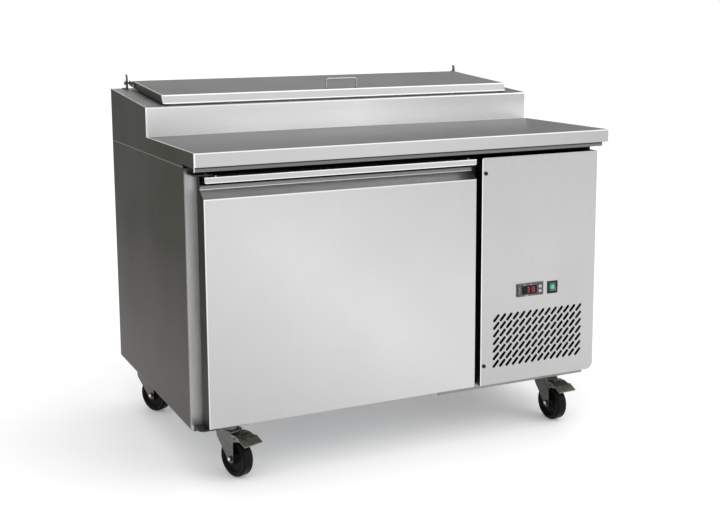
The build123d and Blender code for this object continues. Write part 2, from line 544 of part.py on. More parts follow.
def fan(radius, depth, blades, hub_r, shaft, boss):
    """Axial fan about +Z, with its hub face at the origin and its shaft running to +Z."""
    with BuildPart() as rotor:
        Cylinder(hub_r, depth, align=(Align.CENTER, Align.CENTER, Align.MIN))
        for index in range(blades):
            turn = radians(360 * index / blades)
            outward = (cos(turn), sin(turn), 0)
            normal = (sin(turn) * sin(BLADE_PITCH), -cos(turn) * sin(BLADE_PITCH), cos(BLADE_PITCH))
            with BuildSketch(Plane(origin=(0, 0, depth / 2), x_dir=outward, z_dir=normal)):
                with BuildLine():
                    FilletPolyline(
                        (hub_r * 0.6, -6), (radius * 0.97, -radius * 0.26), (radius * 0.92, radius * 0.3),
                        (hub_r * 0.6, 6), radius=4, close=True,
                    )
                make_face()
            extrude(amount=1.2, both=True)
        with Locations((0, 0, depth)):
            Cylinder(shaft, boss, align=(Align.CENTER, Align.CENTER, Align.MIN))
    return rotor


def save_turned(piece, name, position, rotation):
    """Place a rotor made about +Z at its own bearing, then write it."""
    placed = piece.part.moved(Location(position, rotation))
    placed.label = name
    export_step(placed, f"parts/{name}.step")


evaporator_rotor = fan(EVAPORATOR_FAN_R, 16, 5, 15, 3, 12)
save_turned(evaporator_rotor, "evaporator_fan", (EVAP_X[0] + 4, fan_y, fan_z), (0, 90, 0))

# ---------------------------------------------------------------- machine compartment
cond_x, cond_z = CONDENSER_MID
CONDENSER_Y = (-300, -266)
with BuildPart() as condenser_coil:
    coil_span_x = (cond_x - 150, cond_x + 150)
    coil_span_z = (cond_z - 115, cond_z + 115)
    block(coil_span_x, (CONDENSER_Y[0] + 4, CONDENSER_Y[1] - 4), coil_span_z)
    with Locations((cond_x, sum(CONDENSER_Y) / 2, cond_z)):
        with GridLocations(6, 1, 49, 1):
            Box(1.2, CONDENSER_Y[1] - CONDENSER_Y[0], 230)
save(condenser_coil, "condenser_coil")

SHROUD_Y = (CONDENSER_Y[1] + GAP, -224)
with BuildPart() as condenser_shroud:
    block(coil_span_x, (SHROUD_Y[0], SHROUD_Y[0] + 1.5), coil_span_z)
    rod((cond_x, SHROUD_Y[0], cond_z), (cond_x, SHROUD_Y[1], cond_z), CONDENSER_FAN_R + 7)
    ring_r = CONDENSER_FAN_R + 5.5
    rod((cond_x, SHROUD_Y[0] - 5, cond_z), (cond_x, SHROUD_Y[1] + 5, cond_z), ring_r, Mode.SUBTRACT)
    foot_low_z = CABINET_Z + 1.7
    for side in (-1, 1):
        foot_x = (cond_x + side * 130 - 12, cond_x + side * 130 + 12)
        block(foot_x, (SHROUD_Y[0], SHROUD_Y[1]), (foot_low_z, foot_low_z + 1.5))
        block(foot_x, (SHROUD_Y[0], SHROUD_Y[0] + 1.5), (foot_low_z, coil_span_z[0] + 1))
save(condenser_shroud, "condenser_shroud")

MOTOR_Y = (-222, -165)
with BuildPart() as condenser_fan_motor:
    rod((cond_x, MOTOR_Y[0], cond_z), (cond_x, MOTOR_Y[1], cond_z), 36)
    fillet(condenser_fan_motor.edges().sort_by(Axis.Y)[-1], 8)
    for side in (-1, 1):
        arm = sorted((cond_x + side * 30, cond_x + side * 99))
        block(arm, (MOTOR_Y[0] + 6, MOTOR_Y[0] + 9), (cond_z - 8, cond_z + 8))
        tip = sorted((cond_x + side * 99, cond_x + side * 102))
        block(tip, (SHROUD_Y[1] - 12, MOTOR_Y[0] + 9), (cond_z - 8, cond_z + 8))
    rod((cond_x, MOTOR_Y[0] - 1, cond_z), (cond_x, MOTOR_Y[0] + 20, cond_z), 4.06, Mode.SUBTRACT)
save(condenser_fan_motor, "condenser_fan_motor")

condenser_rotor = fan(CONDENSER_FAN_R, 22, 5, 24, 4, 18)
save_turned(condenser_rotor, "condenser_fan", (cond_x, -252, cond_z), (-90, 0, 0))

COMPRESSOR_X, COMPRESSOR_Y = 400, 90
with BuildPart() as compressor:
    with BuildSketch(Plane.XZ.offset(-COMPRESSOR_Y)):
        with BuildLine():
            FilletPolyline(
                (COMPRESSOR_X, 160), (COMPRESSOR_X + 74, 160), (COMPRESSOR_X + 80, 240),
                (COMPRESSOR_X + 74, 330), (COMPRESSOR_X, 335), radius=18,
            )
            Line((COMPRESSOR_X, 335), (COMPRESSOR_X, 160))
        make_face()
    revolve(axis=Axis((COMPRESSOR_X, COMPRESSOR_Y, 0), (0, 0, 1)))
    block((COMPRESSOR_X - 105, COMPRESSOR_X + 105), (COMPRESSOR_Y - 70, COMPRESSOR_Y + 70), (158, 161))
    block((COMPRESSOR_X + 60, COMPRESSOR_X + 105), (COMPRESSOR_Y - 30, COMPRESSOR_Y + 30), (215, 275))
    with Locations((COMPRESSOR_X, COMPRESSOR_Y, 148.2)):
        with GridLocations(180, 110, 2, 2):
            Cylinder(11, 19.4)
save(compressor, "compressor")

with BuildPart() as control_box:
    block((430, 550), (-60, 60), (650, MACHINE_ROOF_Z - GAP))
    fillet(control_box.edges().filter_by(Axis.Z), 6)
save(control_box, "control_box")


def pipe(points, radius, bend):
    """Add a bent tube along a run of points with round bends."""
    with BuildPart() as tube:
        with BuildLine():
            run = FilletPolyline(*points, radius=bend)
        with BuildSketch(Plane(origin=run @ 0, z_dir=run % 0)):
            Circle(radius)
        sweep()
    return tube.part


suction = pipe(((420, 150, 336.5), (420, 150, PIPE_Z), (300, PIPE_Y, PIPE_Z), (168, PIPE_Y, PIPE_Z)), 4, 25)
discharge_run = ((360, 120, 337), (360, 120, 440), (255, 0, 440), (255, -283, 440), (255, -283, 400.5))
discharge = pipe(discharge_run, 3, 12)
liquid = pipe(((510, -283, 400.5), (510, -283, 470), (540, 120, 470), (540, 120, 250)), 3, 12)
with BuildPart() as refrigerant_pipes:
    add([suction, discharge, liquid])
    with Locations((540, 120, 202)):
        Cylinder(11, 95)
save(refrigerant_pipes, "refrigerant_pipes")

# ---------------------------------------------------------------- service panel and controls
SLOT_COLUMNS, SLOT_ROWS = 14, 7
SLOT_PITCH = (20.92, 21.5)
SLOT_SIZE = (27, 8.2)     # overall length and width
SCREW_HEAD_R = 5.2
GRILLE_MID = (392.5, 277.4)
SCREW_X, SCREW_HEIGHTS = SERVICE_X[0] + 11, (211, 744)
CONTROLLER_CUT, SWITCH_CUT = (71, 29), (27, 29)
FRONT = Plane(origin=(0, FACE_Y, 0), x_dir=(1, 0, 0), z_dir=(0, -1, 0))
with BuildPart() as service_panel:
    block(SERVICE_X, (FACE_Y, CABINET_Y - 0.5), SERVICE_Z)
    depth_edges = service_panel.edges().filter_by(Axis.Y).sort_by(Axis.X)[-2:].sort_by(Axis.Z)
    fillet(depth_edges[0], 20)
    fillet(service_panel.edges().filter_by(Axis.Y).sort_by(Axis.Z)[-1:], 5)
    offset(amount=-SHEET, openings=service_panel.faces().sort_by(Axis.Y)[-1])
    with BuildSketch(FRONT.offset(-5)):
        with Locations(GRILLE_MID):
            with GridLocations(*SLOT_PITCH, SLOT_COLUMNS, SLOT_ROWS):
                SlotOverall(*SLOT_SIZE, rotation=47)
        with Locations(CONTROLLER_MID):
            Rectangle(*CONTROLLER_CUT)
        with Locations(SWITCH_MID):
            Rectangle(*SWITCH_CUT)
        for screw_z in SCREW_HEIGHTS:
            with Locations((SCREW_X, screw_z)):
                Circle(2.3)
    extrude(amount=10, mode=Mode.SUBTRACT)
save(service_panel, "service_panel")

with BuildPart() as panel_screws:
    for screw_z in SCREW_HEIGHTS:
        rod((SCREW_X, FACE_Y - 2.2, screw_z), (SCREW_X, FACE_Y - 0.1, screw_z), SCREW_HEAD_R)
        rod((SCREW_X, FACE_Y - 0.1, screw_z), (SCREW_X, CABINET_Y - 0.2, screw_z), 2)
save(panel_screws, "panel_screws")

KEY_X, KEY_ZS, KEY_SIZE, KEY_TRAVEL = CONTROLLER_MID[0] + 31, (405.6, 418.4), (9, 7.5), 0.5
WINDOW = (334, 384, 400, 424)
with BuildPart() as controller_body:
    block((321, 406), (FACE_Y - 5, FACE_Y - 0.1), (394, 430))
    fillet(controller_body.edges().group_by(Axis.Y)[0], 2)
    with BuildSketch(FRONT.offset(0.1)):
        with Locations(CONTROLLER_MID):
            Rectangle(CONTROLLER_CUT[0] - 0.4, CONTROLLER_CUT[1] - 0.4)
    extrude(amount=-55)
    block(WINDOW[0:2], (FACE_Y - 6, FACE_Y - 2.5), WINDOW[2:4], Mode.SUBTRACT)
    for key_z in KEY_ZS:
        block((KEY_X - 5, KEY_X + 5), (FACE_Y - 6, FACE_Y - 2), (key_z - 4.3, key_z + 4.3), Mode.SUBTRACT)
save(controller_body, "controller_body")

with BuildPart() as controller_window:
    lens_x, lens_z = (WINDOW[0] + 0.1, WINDOW[1] - 0.1), (WINDOW[2] + 0.1, WINDOW[3] - 0.1)
    block(lens_x, (FACE_Y - 4.6, FACE_Y - 2.6), lens_z)
save(controller_window, "controller_window")

for key_name, key_z in zip(("lower_key", "upper_key"), KEY_ZS):
    with BuildPart() as key:
        cap_x = (KEY_X - KEY_SIZE[0] / 2, KEY_X + KEY_SIZE[0] / 2)
        cap_z = (key_z - KEY_SIZE[1] / 2, key_z + KEY_SIZE[1] / 2)
        block(cap_x, (FACE_Y - 5.8, FACE_Y - 2.3 - KEY_TRAVEL), cap_z)
        fillet(key.edges().group_by(Axis.Y)[0], 0.8)
    save(key, key_name)

ROCKER_TILT = 7
ROCKER_CROWN = 9.5         # how far the rocker's two pads stand in front of its pivot
ROCKER_DIP = 2.3           # depth of the valley between the pads
switch_x, switch_z = SWITCH_MID
ROCKER_Y = FACE_Y + 6
with BuildPart() as switch_housing:
    frame_x, frame_z = (switch_x - 16.5, switch_x + 16.5), (switch_z - 17.5, switch_z + 17.5)
    block(frame_x, (FACE_Y - 2.5, FACE_Y - 0.1), frame_z)
    fillet(switch_housing.edges().group_by(Axis.Y)[0], 1)
    with BuildSketch(FRONT.offset(0.1)):
        with Locations(SWITCH_MID):
            Rectangle(SWITCH_CUT[0] - 0.4, SWITCH_CUT[1] - 0.4)
    extrude(amount=-32)
    block((switch_x - 11.5, switch_x + 11.5), (FACE_Y - 5, FACE_Y + 22), (switch_z - 13.2, switch_z + 13.2),
          Mode.SUBTRACT)
save(switch_housing, "switch_housing")

with BuildPart() as switch_rocker:
    pad_y = ROCKER_Y - ROCKER_CROWN
    with BuildSketch(Plane.YZ.offset(switch_x - 11)):
        with BuildLine():
            Polyline(
                (pad_y, switch_z - 12), (pad_y + ROCKER_DIP, switch_z), (pad_y, switch_z + 12),
                (ROCKER_Y + 3, switch_z + 9), (ROCKER_Y + 6, switch_z), (ROCKER_Y + 3, switch_z - 9),
                close=True,
            )
        make_face()
    extrude(amount=22)
tilted_rocker = switch_rocker.part.rotate(Axis((0, ROCKER_Y, switch_z), (1, 0, 0)), -ROCKER_TILT)
tilted_rocker.label = "switch_rocker"
export_step(tilted_rocker, "parts/switch_rocker.step")

# ---------------------------------------------------------------- casters
PLATE_Z = (133, CABINET_Z)
CUP_Z = 128.4
CROWN_Z = (121, 127.9)
LEG_X = (18.6, 21.6)
PEDAL_PIVOT = (-54, 108)
with BuildPart() as caster_plates:
    for caster_x, caster_y, heading in CASTERS.values():
        plate_z = (PLATE_Z[0], PLATE_Z[1] - 0.1)
        block((caster_x - 44, caster_x + 44), (caster_y - 38, caster_y + 38), plate_z)
        rod((caster_x, caster_y, CUP_Z), (caster_x, caster_y, PLATE_Z[0] + 1), 27)
        rod((caster_x, caster_y, 110), (caster_x, caster_y, CUP_Z + 1), KINGPIN_R)
        rod((caster_x, caster_y, 110), (caster_x, caster_y, 115.6), 9)
save(caster_plates, "caster_plates")


def caster_fork(with_brake):
    """Swivel fork about its kingpin at the origin, trailing towards -Y, with its axle bolt."""
    with BuildPart() as fork:
        with BuildSketch(Plane.XY.offset(CROWN_Z[0])):
            Circle(27)
        extrude(amount=CROWN_Z[1] - CROWN_Z[0], taper=12)
        block((-LEG_X[1], LEG_X[1]), (-30, 24), (116.2, CROWN_Z[0]))
        for side in (-1, 1):
            low_x = min(side * LEG_X[0], side * LEG_X[1])
            wing = ((-33, 113.5), (-59.5, 113.5), (-59.5, 101)) if with_brake else ()
            with BuildSketch(Plane.YZ.offset(low_x)):
                with BuildLine():
                    Polyline(
                        (-23.5, 47), (20, 98), (24, 121), (-30, 121), *wing, (-46.5, 96), (-46.5, 47),
                    )
                    ThreePointArc((-46.5, 47), (-CASTER_TRAIL, 38), (-23.5, 47))
                make_face()
            extrude(amount=LEG_X[1] - LEG_X[0])
        rod((0, 0, 110), (0, 0, 130), KINGPIN_R + 0.08, Mode.SUBTRACT)
        rod((-30, -CASTER_TRAIL, WHEEL_R), (30, -CASTER_TRAIL, WHEEL_R), AXLE_R + 0.1, Mode.SUBTRACT)
        if with_brake:
            pivot_y, pivot_z = PEDAL_PIVOT
            rod((-30, pivot_y, pivot_z), (30, pivot_y, pivot_z), 3.1, Mode.SUBTRACT)
            rod((-26.5, pivot_y, pivot_z), (26.5, pivot_y, pivot_z), 3)
        rod((-26, -CASTER_TRAIL, WHEEL_R), (26, -CASTER_TRAIL, WHEEL_R), AXLE_R)
        for side in (-1, 1):
            with BuildSketch(Plane.YZ.offset(min(side * 21.8, side * 26.5))):
                with Locations((-CASTER_TRAIL, WHEEL_R)):
                    RegularPolygon(7.5, 6)
            extrude(amount=4.7)
    return fork


def caster_wheel():
    """Wheel with a solid tread, its axle bore and dished sides."""
    with BuildPart() as wheel:
        half = WHEEL_HALF_W
        bore = AXLE_R + 0.07
        outline = (
            (-half - 1, bore), (half + 1, bore), (half + 1, 13), (9, 17), (9, 35), (half - 2, 39), (half, 45),
            (half - 4, WHEEL_R), (-half + 4, WHEEL_R), (-half, 45), (-half + 2, 39), (-9, 35), (-9, 17),
            (-half - 1, 13),
        )
        with BuildSketch(Plane(origin=(0, -CASTER_TRAIL, WHEEL_R))):
            with BuildLine():
                Polyline(*outline, close=True)
            make_face()
        revolve(axis=Axis((0, -CASTER_TRAIL, WHEEL_R), (1, 0, 0)))
        fillet(wheel.edges().filter_by(GeomType.CIRCLE).filter_by(lambda e: e.radius > WHEEL_R - 0.1), 3)
    return wheel


def brake_pedal():
    """Pressed foot pedal on its own pin across the fork, over the wheel."""
    with BuildPart() as pedal:
        profile = (
            (-37, 117), (-58, 117.4), (-82, 112), (-104, 101),
            (-104, 98.4), (-82, 109.4), (-58, 114.8), (-37, 114.4),
        )
        prism_x(profile, (-24.4, 24.4))
        prism_x(((-78, 112.9), (-82, 112), (-104, 101), (-104, 98.4), (-82, 109.4), (-78, 110.3)), (-29, 29))
        for side in (-1, 1):
            cheek = sorted((side * 22.4, side * 24.4))
            prism_x(((-46, 103), (-46, 115), (-58, 116), (-82, 110.5), (-80, 105), (-60, 102)), cheek)
        rod((-30, *PEDAL_PIVOT), (30, *PEDAL_PIVOT), 3.07, Mode.SUBTRACT)
    return pedal


for corner, (caster_x, caster_y, heading) in CASTERS.items():
    braked = corner.startswith("front")
    save_placed(caster_fork(braked), f"caster_fork_{corner}", caster_x, caster_y, heading)
    save_placed(caster_wheel(), f"caster_wheel_{corner}", caster_x, caster_y, heading)
    if braked:
        save_placed(brake_pedal(), f"brake_pedal_{corner}", caster_x, caster_y, heading)
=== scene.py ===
"""Looks of the refrigerated sandwich prep table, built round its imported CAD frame."""

import json
from math import cos, pi, radians, sin, tau

import bmesh
import bpy
from mathutils import Matrix, Vector


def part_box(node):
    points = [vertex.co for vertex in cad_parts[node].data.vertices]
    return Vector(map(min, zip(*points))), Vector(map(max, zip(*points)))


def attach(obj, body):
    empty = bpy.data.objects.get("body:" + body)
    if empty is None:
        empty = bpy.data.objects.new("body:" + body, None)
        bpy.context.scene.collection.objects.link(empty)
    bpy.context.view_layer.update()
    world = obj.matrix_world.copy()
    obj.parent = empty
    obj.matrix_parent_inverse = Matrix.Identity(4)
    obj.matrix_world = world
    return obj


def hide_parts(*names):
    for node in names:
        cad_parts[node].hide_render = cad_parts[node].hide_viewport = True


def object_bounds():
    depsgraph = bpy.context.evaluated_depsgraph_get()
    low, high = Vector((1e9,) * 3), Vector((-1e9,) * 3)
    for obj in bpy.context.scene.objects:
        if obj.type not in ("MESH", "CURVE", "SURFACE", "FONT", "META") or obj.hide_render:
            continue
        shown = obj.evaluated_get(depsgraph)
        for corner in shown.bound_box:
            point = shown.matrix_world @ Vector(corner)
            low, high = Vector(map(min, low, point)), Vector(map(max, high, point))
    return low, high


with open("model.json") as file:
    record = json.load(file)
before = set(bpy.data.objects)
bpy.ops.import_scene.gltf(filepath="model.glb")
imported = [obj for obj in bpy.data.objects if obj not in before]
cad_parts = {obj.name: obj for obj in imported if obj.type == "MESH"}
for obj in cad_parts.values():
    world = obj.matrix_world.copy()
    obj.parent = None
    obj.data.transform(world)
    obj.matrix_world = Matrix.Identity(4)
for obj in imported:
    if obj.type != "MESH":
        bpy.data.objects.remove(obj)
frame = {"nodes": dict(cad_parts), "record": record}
NODES = frame["nodes"]
CAD_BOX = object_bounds()
MM = 0.001

# ---------------------------------------------------------------- camera
CAMERA_PLACE = (-1.3907, -2.9650, 1.1617)
CAMERA_YAW, CAMERA_PITCH, CAMERA_ROLL = radians(24.685), radians(8.755), radians(-0.45)
CAMERA_LENS, SENSOR_WIDTH = 57.235, 36
CAMERA_SHIFT = (0.0219, -0.09)

camera_data = bpy.data.cameras.new("camera")
camera_data.lens = CAMERA_LENS
camera_data.sensor_width = SENSOR_WIDTH
camera_data.shift_x, camera_data.shift_y = CAMERA_SHIFT
camera = bpy.data.objects.new("camera", camera_data)
forward = Vector((sin(CAMERA_YAW) * cos(CAMERA_PITCH), cos(CAMERA_YAW) * cos(CAMERA_PITCH), -sin(CAMERA_PITCH)))
aim = forward.to_track_quat("-Z", "Y").to_matrix() @ Matrix.Rotation(CAMERA_ROLL, 3, "Z")
camera.matrix_world = Matrix.Translation(CAMERA_PLACE) @ aim.to_4x4()
bpy.context.scene.collection.objects.link(camera)
bpy.context.scene.camera = camera
bpy.context.scene.view_settings.view_transform = "Standard"


# ---------------------------------------------------------------- material building blocks
class Shader:
    """A material's node tree with short calls for the nodes these finishes are made of."""

    def __init__(self, name, metallic=0.0, roughness=0.5, **fixed):
        self.material = bpy.data.materials.new(name)
        self.material.use_nodes = True
        self.tree = self.material.node_tree
        self.bsdf = self.tree.nodes["Principled BSDF"]
        self.bsdf.inputs["Metallic"].default_value = metallic
        self.bsdf.inputs["Roughness"].default_value = roughness
        for socket, value in fixed.items():
            self.bsdf.inputs[socket.replace("_", " ")].default_value = value
        coordinates = self.node("ShaderNodeTexCoord")
        self.place, self.normal = coordinates.outputs["Object"], coordinates.outputs["Normal"]

    def node(self, kind, **settings):
        """A new node with some of its settings given."""
        made = self.tree.nodes.new(kind)
        for key, value in settings.items():
            setattr(made, key, value)
        return made

    def link(self, source, target):
        """Join a socket to another, or set the other to a plain value."""
        if hasattr(source, "default_value"):
            self.tree.links.new(source, target)
        else:
            target.default_value = source

    def stretched(self, scale):
        """Object coordinates multiplied by a different number along each axis."""
        mapping = self.node("ShaderNodeMapping")
        mapping.inputs["Scale"].default_value = scale
        self.link(self.place, mapping.inputs["Vector"])
        return mapping.outputs["Vector"]

    def noise(self, scale, detail=3.0, stretch=(1, 1, 1), rough=0.55):
        made = self.node("ShaderNodeTexNoise")
        made.inputs["Scale"].default_value = scale
        made.inputs["Detail"].default_value = detail
        made.inputs["Roughness"].default_value = rough
        self.link(self.stretched(stretch), made.inputs["Vector"])
        return made.outputs["Fac"]

    def axis(self, letter):
        """One object coordinate, in metres."""
        parts = self.node("ShaderNodeSeparateXYZ")
        self.link(self.place, parts.inputs[0])
        return parts.outputs[letter]

    def window(self, value, low, high, soft=0.0006):
        """1 where the value is between two limits and 0 elsewhere, with soft edges."""
        rising = self.span(value, 0, 1, low - soft, low + soft)
        return self.math("MULTIPLY", rising, self.span(value, 1, 0, high - soft, high + soft))

    def zone(self, windows):
        """1 inside all of a zone's windows, which are (axis, low, high, softness)."""
        inside = 1.0
        for letter, low, high, soft in windows:
            edge = self.window(self.axis(letter), low, high, soft)
            inside = edge if inside == 1.0 else self.math("MULTIPLY", inside, edge)
        return inside

    def cells(self, scale, output="Distance"):
        made = self.node("ShaderNodeTexVoronoi")
        made.inputs["Scale"].default_value = scale
        self.link(self.place, made.inputs["Vector"])
        return made.outputs[output]

    def bands(self, scale, axis):
        made = self.node("ShaderNodeTexWave", bands_direction=axis)
        made.inputs["Scale"].default_value = scale
        self.link(self.place, made.inputs["Vector"])
        return made.outputs["Fac"]

    def span(self, value, low, high, from_low=0.3, from_high=0.7):
        """The value's range spread to run from low to high."""
        made = self.node("ShaderNodeMapRange")
        for socket, number in (("From Min", from_low), ("From Max", from_high), ("To Min", low), ("To Max", high)):
            made.inputs[socket].default_value = number
        self.link(value, made.inputs["Value"])
        return made.outputs["Result"]

    def math(self, operation, a, b):
        made = self.node("ShaderNodeMath", operation=operation)
        self.link(a, made.inputs[0])
        self.link(b, made.inputs[1])
        return made.outputs[0]

    def mix(self, amount, a, b):
        """One colour blended with another by an amount from 0 to 1."""
        made = self.node("ShaderNodeMix", data_type="RGBA")
        self.link(amount, made.inputs["Factor"])
        self.link(tuple(a) + (1,) if isinstance(a, tuple) else a, made.inputs[6])
        self.link(tuple(b) + (1,) if isinstance(b, tuple) else b, made.inputs[7])
        return made.outputs[2]

    def colour(self, source):
        self.link(source, self.bsdf.inputs["Base Color"])

    def roughness(self, source):
        self.link(source, self.bsdf.inputs["Roughness"])

    def bump(self, *layers):
        """Bump from one or more (height, depth in metres) layers."""
        normal = None
        for height, depth in layers:
            made = self.node("ShaderNodeBump")
            made.inputs["Strength"].default_value = 1.0
            made.inputs["Distance"].default_value = depth
            self.link(height, made.inputs["Height"])
            if normal is not None:
                self.link(normal, made.inputs["Normal"])
            normal = made.outputs["Normal"]
        self.link(normal, self.bsdf.inputs["Normal"])


def scaled(colour, factor):
    return tuple(min(1.0, channel * factor) for channel in colour)


def grey(level):
    return (level, level, level)


def brushed(name, colour, grain, dullness, ends=None, level=None, painted_light_zones=(), rims=None, painted_light_and_shade_last=(), sheen=None):
    """Brushed stainless sheet. The grain tuple is small along the brushing and large across it, and dullness is
    the lowest and the highest roughness. Sheet that faces sideways, along X, takes the ends tones, high and low,
    and level sheet the level tone: painted shade by the way the sheet faces, lighter low down on the sideways
    sheet as a painted reflection of the pale floor. A zone is a tone and its windows, a painted highlight, painted
    shade or painted reflection, and the zones given last, painted light and shade too, lie over all the other
    tones. Rims is the |X| of the ends, whose folds take a painted highlight. Sheen is the middle and half size,
    along X and along Z, of a painted reflection that leaves two opposite corners of the sheet a little darker."""
    shader = Shader(name, metallic=1.0, Specular_Tint=(*STEEL_TINT, 1))
    fine = shader.noise(1.0, 4, grain, 0.7)
    streak = shader.noise(0.12, 3, grain, 0.6)
    handled = shader.noise(3.5, 4)
    shade = shader.math("MULTIPLY", shader.span(fine, 0.96, 1.03), shader.span(streak, 1.0, 0.985))
    shade = shader.math("MULTIPLY", shade, shader.span(handled, 1.0, 0.98, 0.45, 0.75))
    # painted reflection: the sheet a little darker towards two opposite corners
    if sheen:
        (mid_x, half_x), (mid_z, half_z) = sheen
        across = shader.math("MULTIPLY", shader.math("SUBTRACT", shader.axis("X"), mid_x), 1 / half_x)
        upward = shader.math("MULTIPLY", shader.math("SUBTRACT", shader.axis("Z"), mid_z), 1 / half_z)
        diagonal = shader.math("ABSOLUTE", shader.math("ADD", across, upward), 0.0)
        shade = shader.math("MULTIPLY", shade, shader.span(diagonal, 1.02, 0.84, 0.1, 1.7))
    facing = shader.node("ShaderNodeSeparateXYZ")
    shader.link(shader.normal, facing.inputs[0])
    sideways = shader.span(shader.math("ABSOLUTE", facing.outputs["X"], 0.0), 0, 1, 0.6, 0.9)
    sheet = colour
    # painted light and shade laid on by zone: highlights, shadows and reflections
    for tone, *windows in painted_light_zones:
        sheet = shader.mix(shader.zone(windows), sheet, tone)
    # painted shade on level sheet
    if level:
        flat = shader.span(shader.math("ABSOLUTE", facing.outputs["Z"], 0.0), 0, 1, 0.84, 0.97)
        sheet = shader.mix(flat, sheet, level)
    # painted highlights along the folds at the ends
    if rims:
        outward = shader.math("ABSOLUTE", shader.axis("X"), 0.0)
        sheet = shader.mix(shader.window(outward, rims - UPRIGHT_RIM, FAR), sheet, RIM_HIGHLIGHT)
        level_rim_highlight = shader.math("MULTIPLY", flat, shader.window(outward, rims - LEVEL_RIM, FAR))
        sheet = shader.mix(level_rim_highlight, sheet, LEVEL_RIM_HIGHLIGHT)
    # painted shade on sheet that faces sideways, lighter low down as a painted reflection of the pale floor
    if ends:
        painted_side_shade = shader.mix(shader.span(shader.axis("Z"), 1, 0, 0.17, 0.6), *ends)
        sheet = shader.mix(sideways, sheet, painted_side_shade)
    # painted shadows and highlights laid over all the other tones
    for tone, *windows in painted_light_and_shade_last:
        sheet = shader.mix(shader.zone(windows), sheet, tone)
    shaded = shader.node("ShaderNodeVectorMath", operation="SCALE")
    shader.link(sheet, shaded.inputs[0])
    shader.link(shade, shaded.inputs["Scale"])
    shader.colour(shaded.outputs[0])
    shader.roughness(shader.math("ADD", shader.span(fine, *dullness), shader.span(handled, -SMUDGE, SMUDGE)))
    shader.bump((fine, GRAIN_DEPTH), (shader.noise(2.2, 1), WAVINESS))
    return shader.material


def moulded(name, colour, roughness, grain_mm=0.5, depth=2.5e-5, mottle=0.06, shine=0.5):
    """Moulded plastic with a fine leathered texture, slight mottling and scuffs."""
    shader = Shader(name, Specular_IOR_Level=shine)
    pores = shader.noise(1 / (grain_mm * MM), 2)
    cloudy = shader.noise(22, 4)
    scuffed = shader.span(shader.noise(60, 5, (1, 1, 0.25)), 0, 1, 0.58, 0.72)
    tone = shader.mix(shader.span(cloudy, 0, 1), scaled(colour, 1 - mottle), scaled(colour, 1 + mottle))
    shader.colour(shader.mix(shader.math("MULTIPLY", scuffed, 0.25), tone, scaled(colour, 1.5)))
    shader.roughness(shader.math("ADD", shader.span(cloudy, roughness - 0.05, roughness + 0.06),
                                 shader.math("MULTIPLY", scuffed, 0.1)))
    shader.bump((pores, depth))
    return shader.material


def painted(name, colour, roughness, coat=0.0, shine=0.5):
    """Painted or enamelled metal with orange peel and fine dust in the finish."""
    shader = Shader(name, Coat_Weight=coat, Coat_Roughness=0.12, Specular_IOR_Level=shine)
    peel = shader.noise(380, 2)
    cloudy = shader.noise(14, 4)
    specks = shader.span(shader.noise(1600, 1), 0, 1, 0.68, 0.75)
    tone = shader.mix(shader.span(cloudy, 0, 1), scaled(colour, 0.9), scaled(colour, 1.12))
    shader.colour(shader.mix(shader.math("MULTIPLY", specks, 0.3), tone, scaled(colour, 2.2)))
    shader.roughness(shader.span(cloudy, roughness - 0.06, roughness + 0.07))
    shader.bump((peel, 2.5e-5))
    return shader.material


def galvanised(name, colour):
    """Hot-dipped sheet with its crystal spangle, each crystal a little different in tone and shine."""
    shader = Shader(name, metallic=1.0)
    tilt = shader.cells(75, output="Color")
    value = shader.node("ShaderNodeSeparateColor")
    shader.link(tilt, value.inputs[0])
    crystal, second = value.outputs[0], value.outputs[1]
    cloudy = shader.noise(9, 4)
    tone = shader.mix(crystal, scaled(colour, 0.86), scaled(colour, 1.1))
    shader.colour(shader.mix(shader.span(cloudy, 0, 0.6), tone, scaled(colour, 0.92)))
    shader.roughness(shader.span(second, 0.36, 0.56, 0, 1))
    shader.bump((shader.cells(75), 3e-5), (shader.noise(900, 2), 6e-6))
    return shader.material


def zinc_plated(name, colour):
    """Bright zinc with cloudy plating, a faint yellow passivation and small dull spots."""
    shader = Shader(name, metallic=1.0)
    cloudy = shader.noise(38, 5)
    spots = shader.span(shader.noise(420, 2), 0, 1, 0.62, 0.7)
    red, green, blue = colour
    yellowed = (red * 1.1, green * 1.06, blue * 0.98)
    tone = shader.mix(shader.span(cloudy, 0, 1), scaled(colour, 0.85), yellowed)
    shader.colour(shader.mix(shader.math("MULTIPLY", spots, 0.35), tone, scaled(colour, 0.6)))
    shader.roughness(shader.math("ADD", shader.span(cloudy, 0.22, 0.36), shader.math("MULTIPLY", spots, 0.2)))
    shader.bump((shader.noise(1500, 2), 8e-6))
    return shader.material


def rubber(name, colour, roughness, dusty=0.16, shine=0.5):
    """Black rubber with a dusty bloom and a fine pebbled skin."""
    shader = Shader(name, roughness=roughness, Specular_IOR_Level=shine)
    bloom = shader.noise(30, 5)
    dust = shader.span(shader.noise(9, 6), 0, 1, 0.5, 0.75)
    tone = shader.mix(shader.span(bloom, 0, 1), scaled(colour, 0.75), scaled(colour, 1.3))
    shader.colour(shader.mix(shader.math("MULTIPLY", dust, dusty), tone, (0.16, 0.155, 0.15)))
    shader.roughness(shader.span(bloom, roughness - 0.09, roughness + 0.1))
    shader.bump((shader.noise(1300, 3), 3e-5), (shader.noise(160, 2), 8e-5))
    return shader.material


def copper(name):
    """Copper tube with brown oxide patches and drawing lines."""
    shader = Shader(name, metallic=1.0)
    patches = shader.noise(45, 5)
    shader.colour(shader.mix(shader.span(patches, 0, 1, 0.4, 0.66), (0.86, 0.44, 0.27), (0.36, 0.16, 0.085)))
    shader.roughness(shader.span(patches, 0.24, 0.5))
    shader.bump((shader.noise(900, 2), 8e-6))
    return shader.material


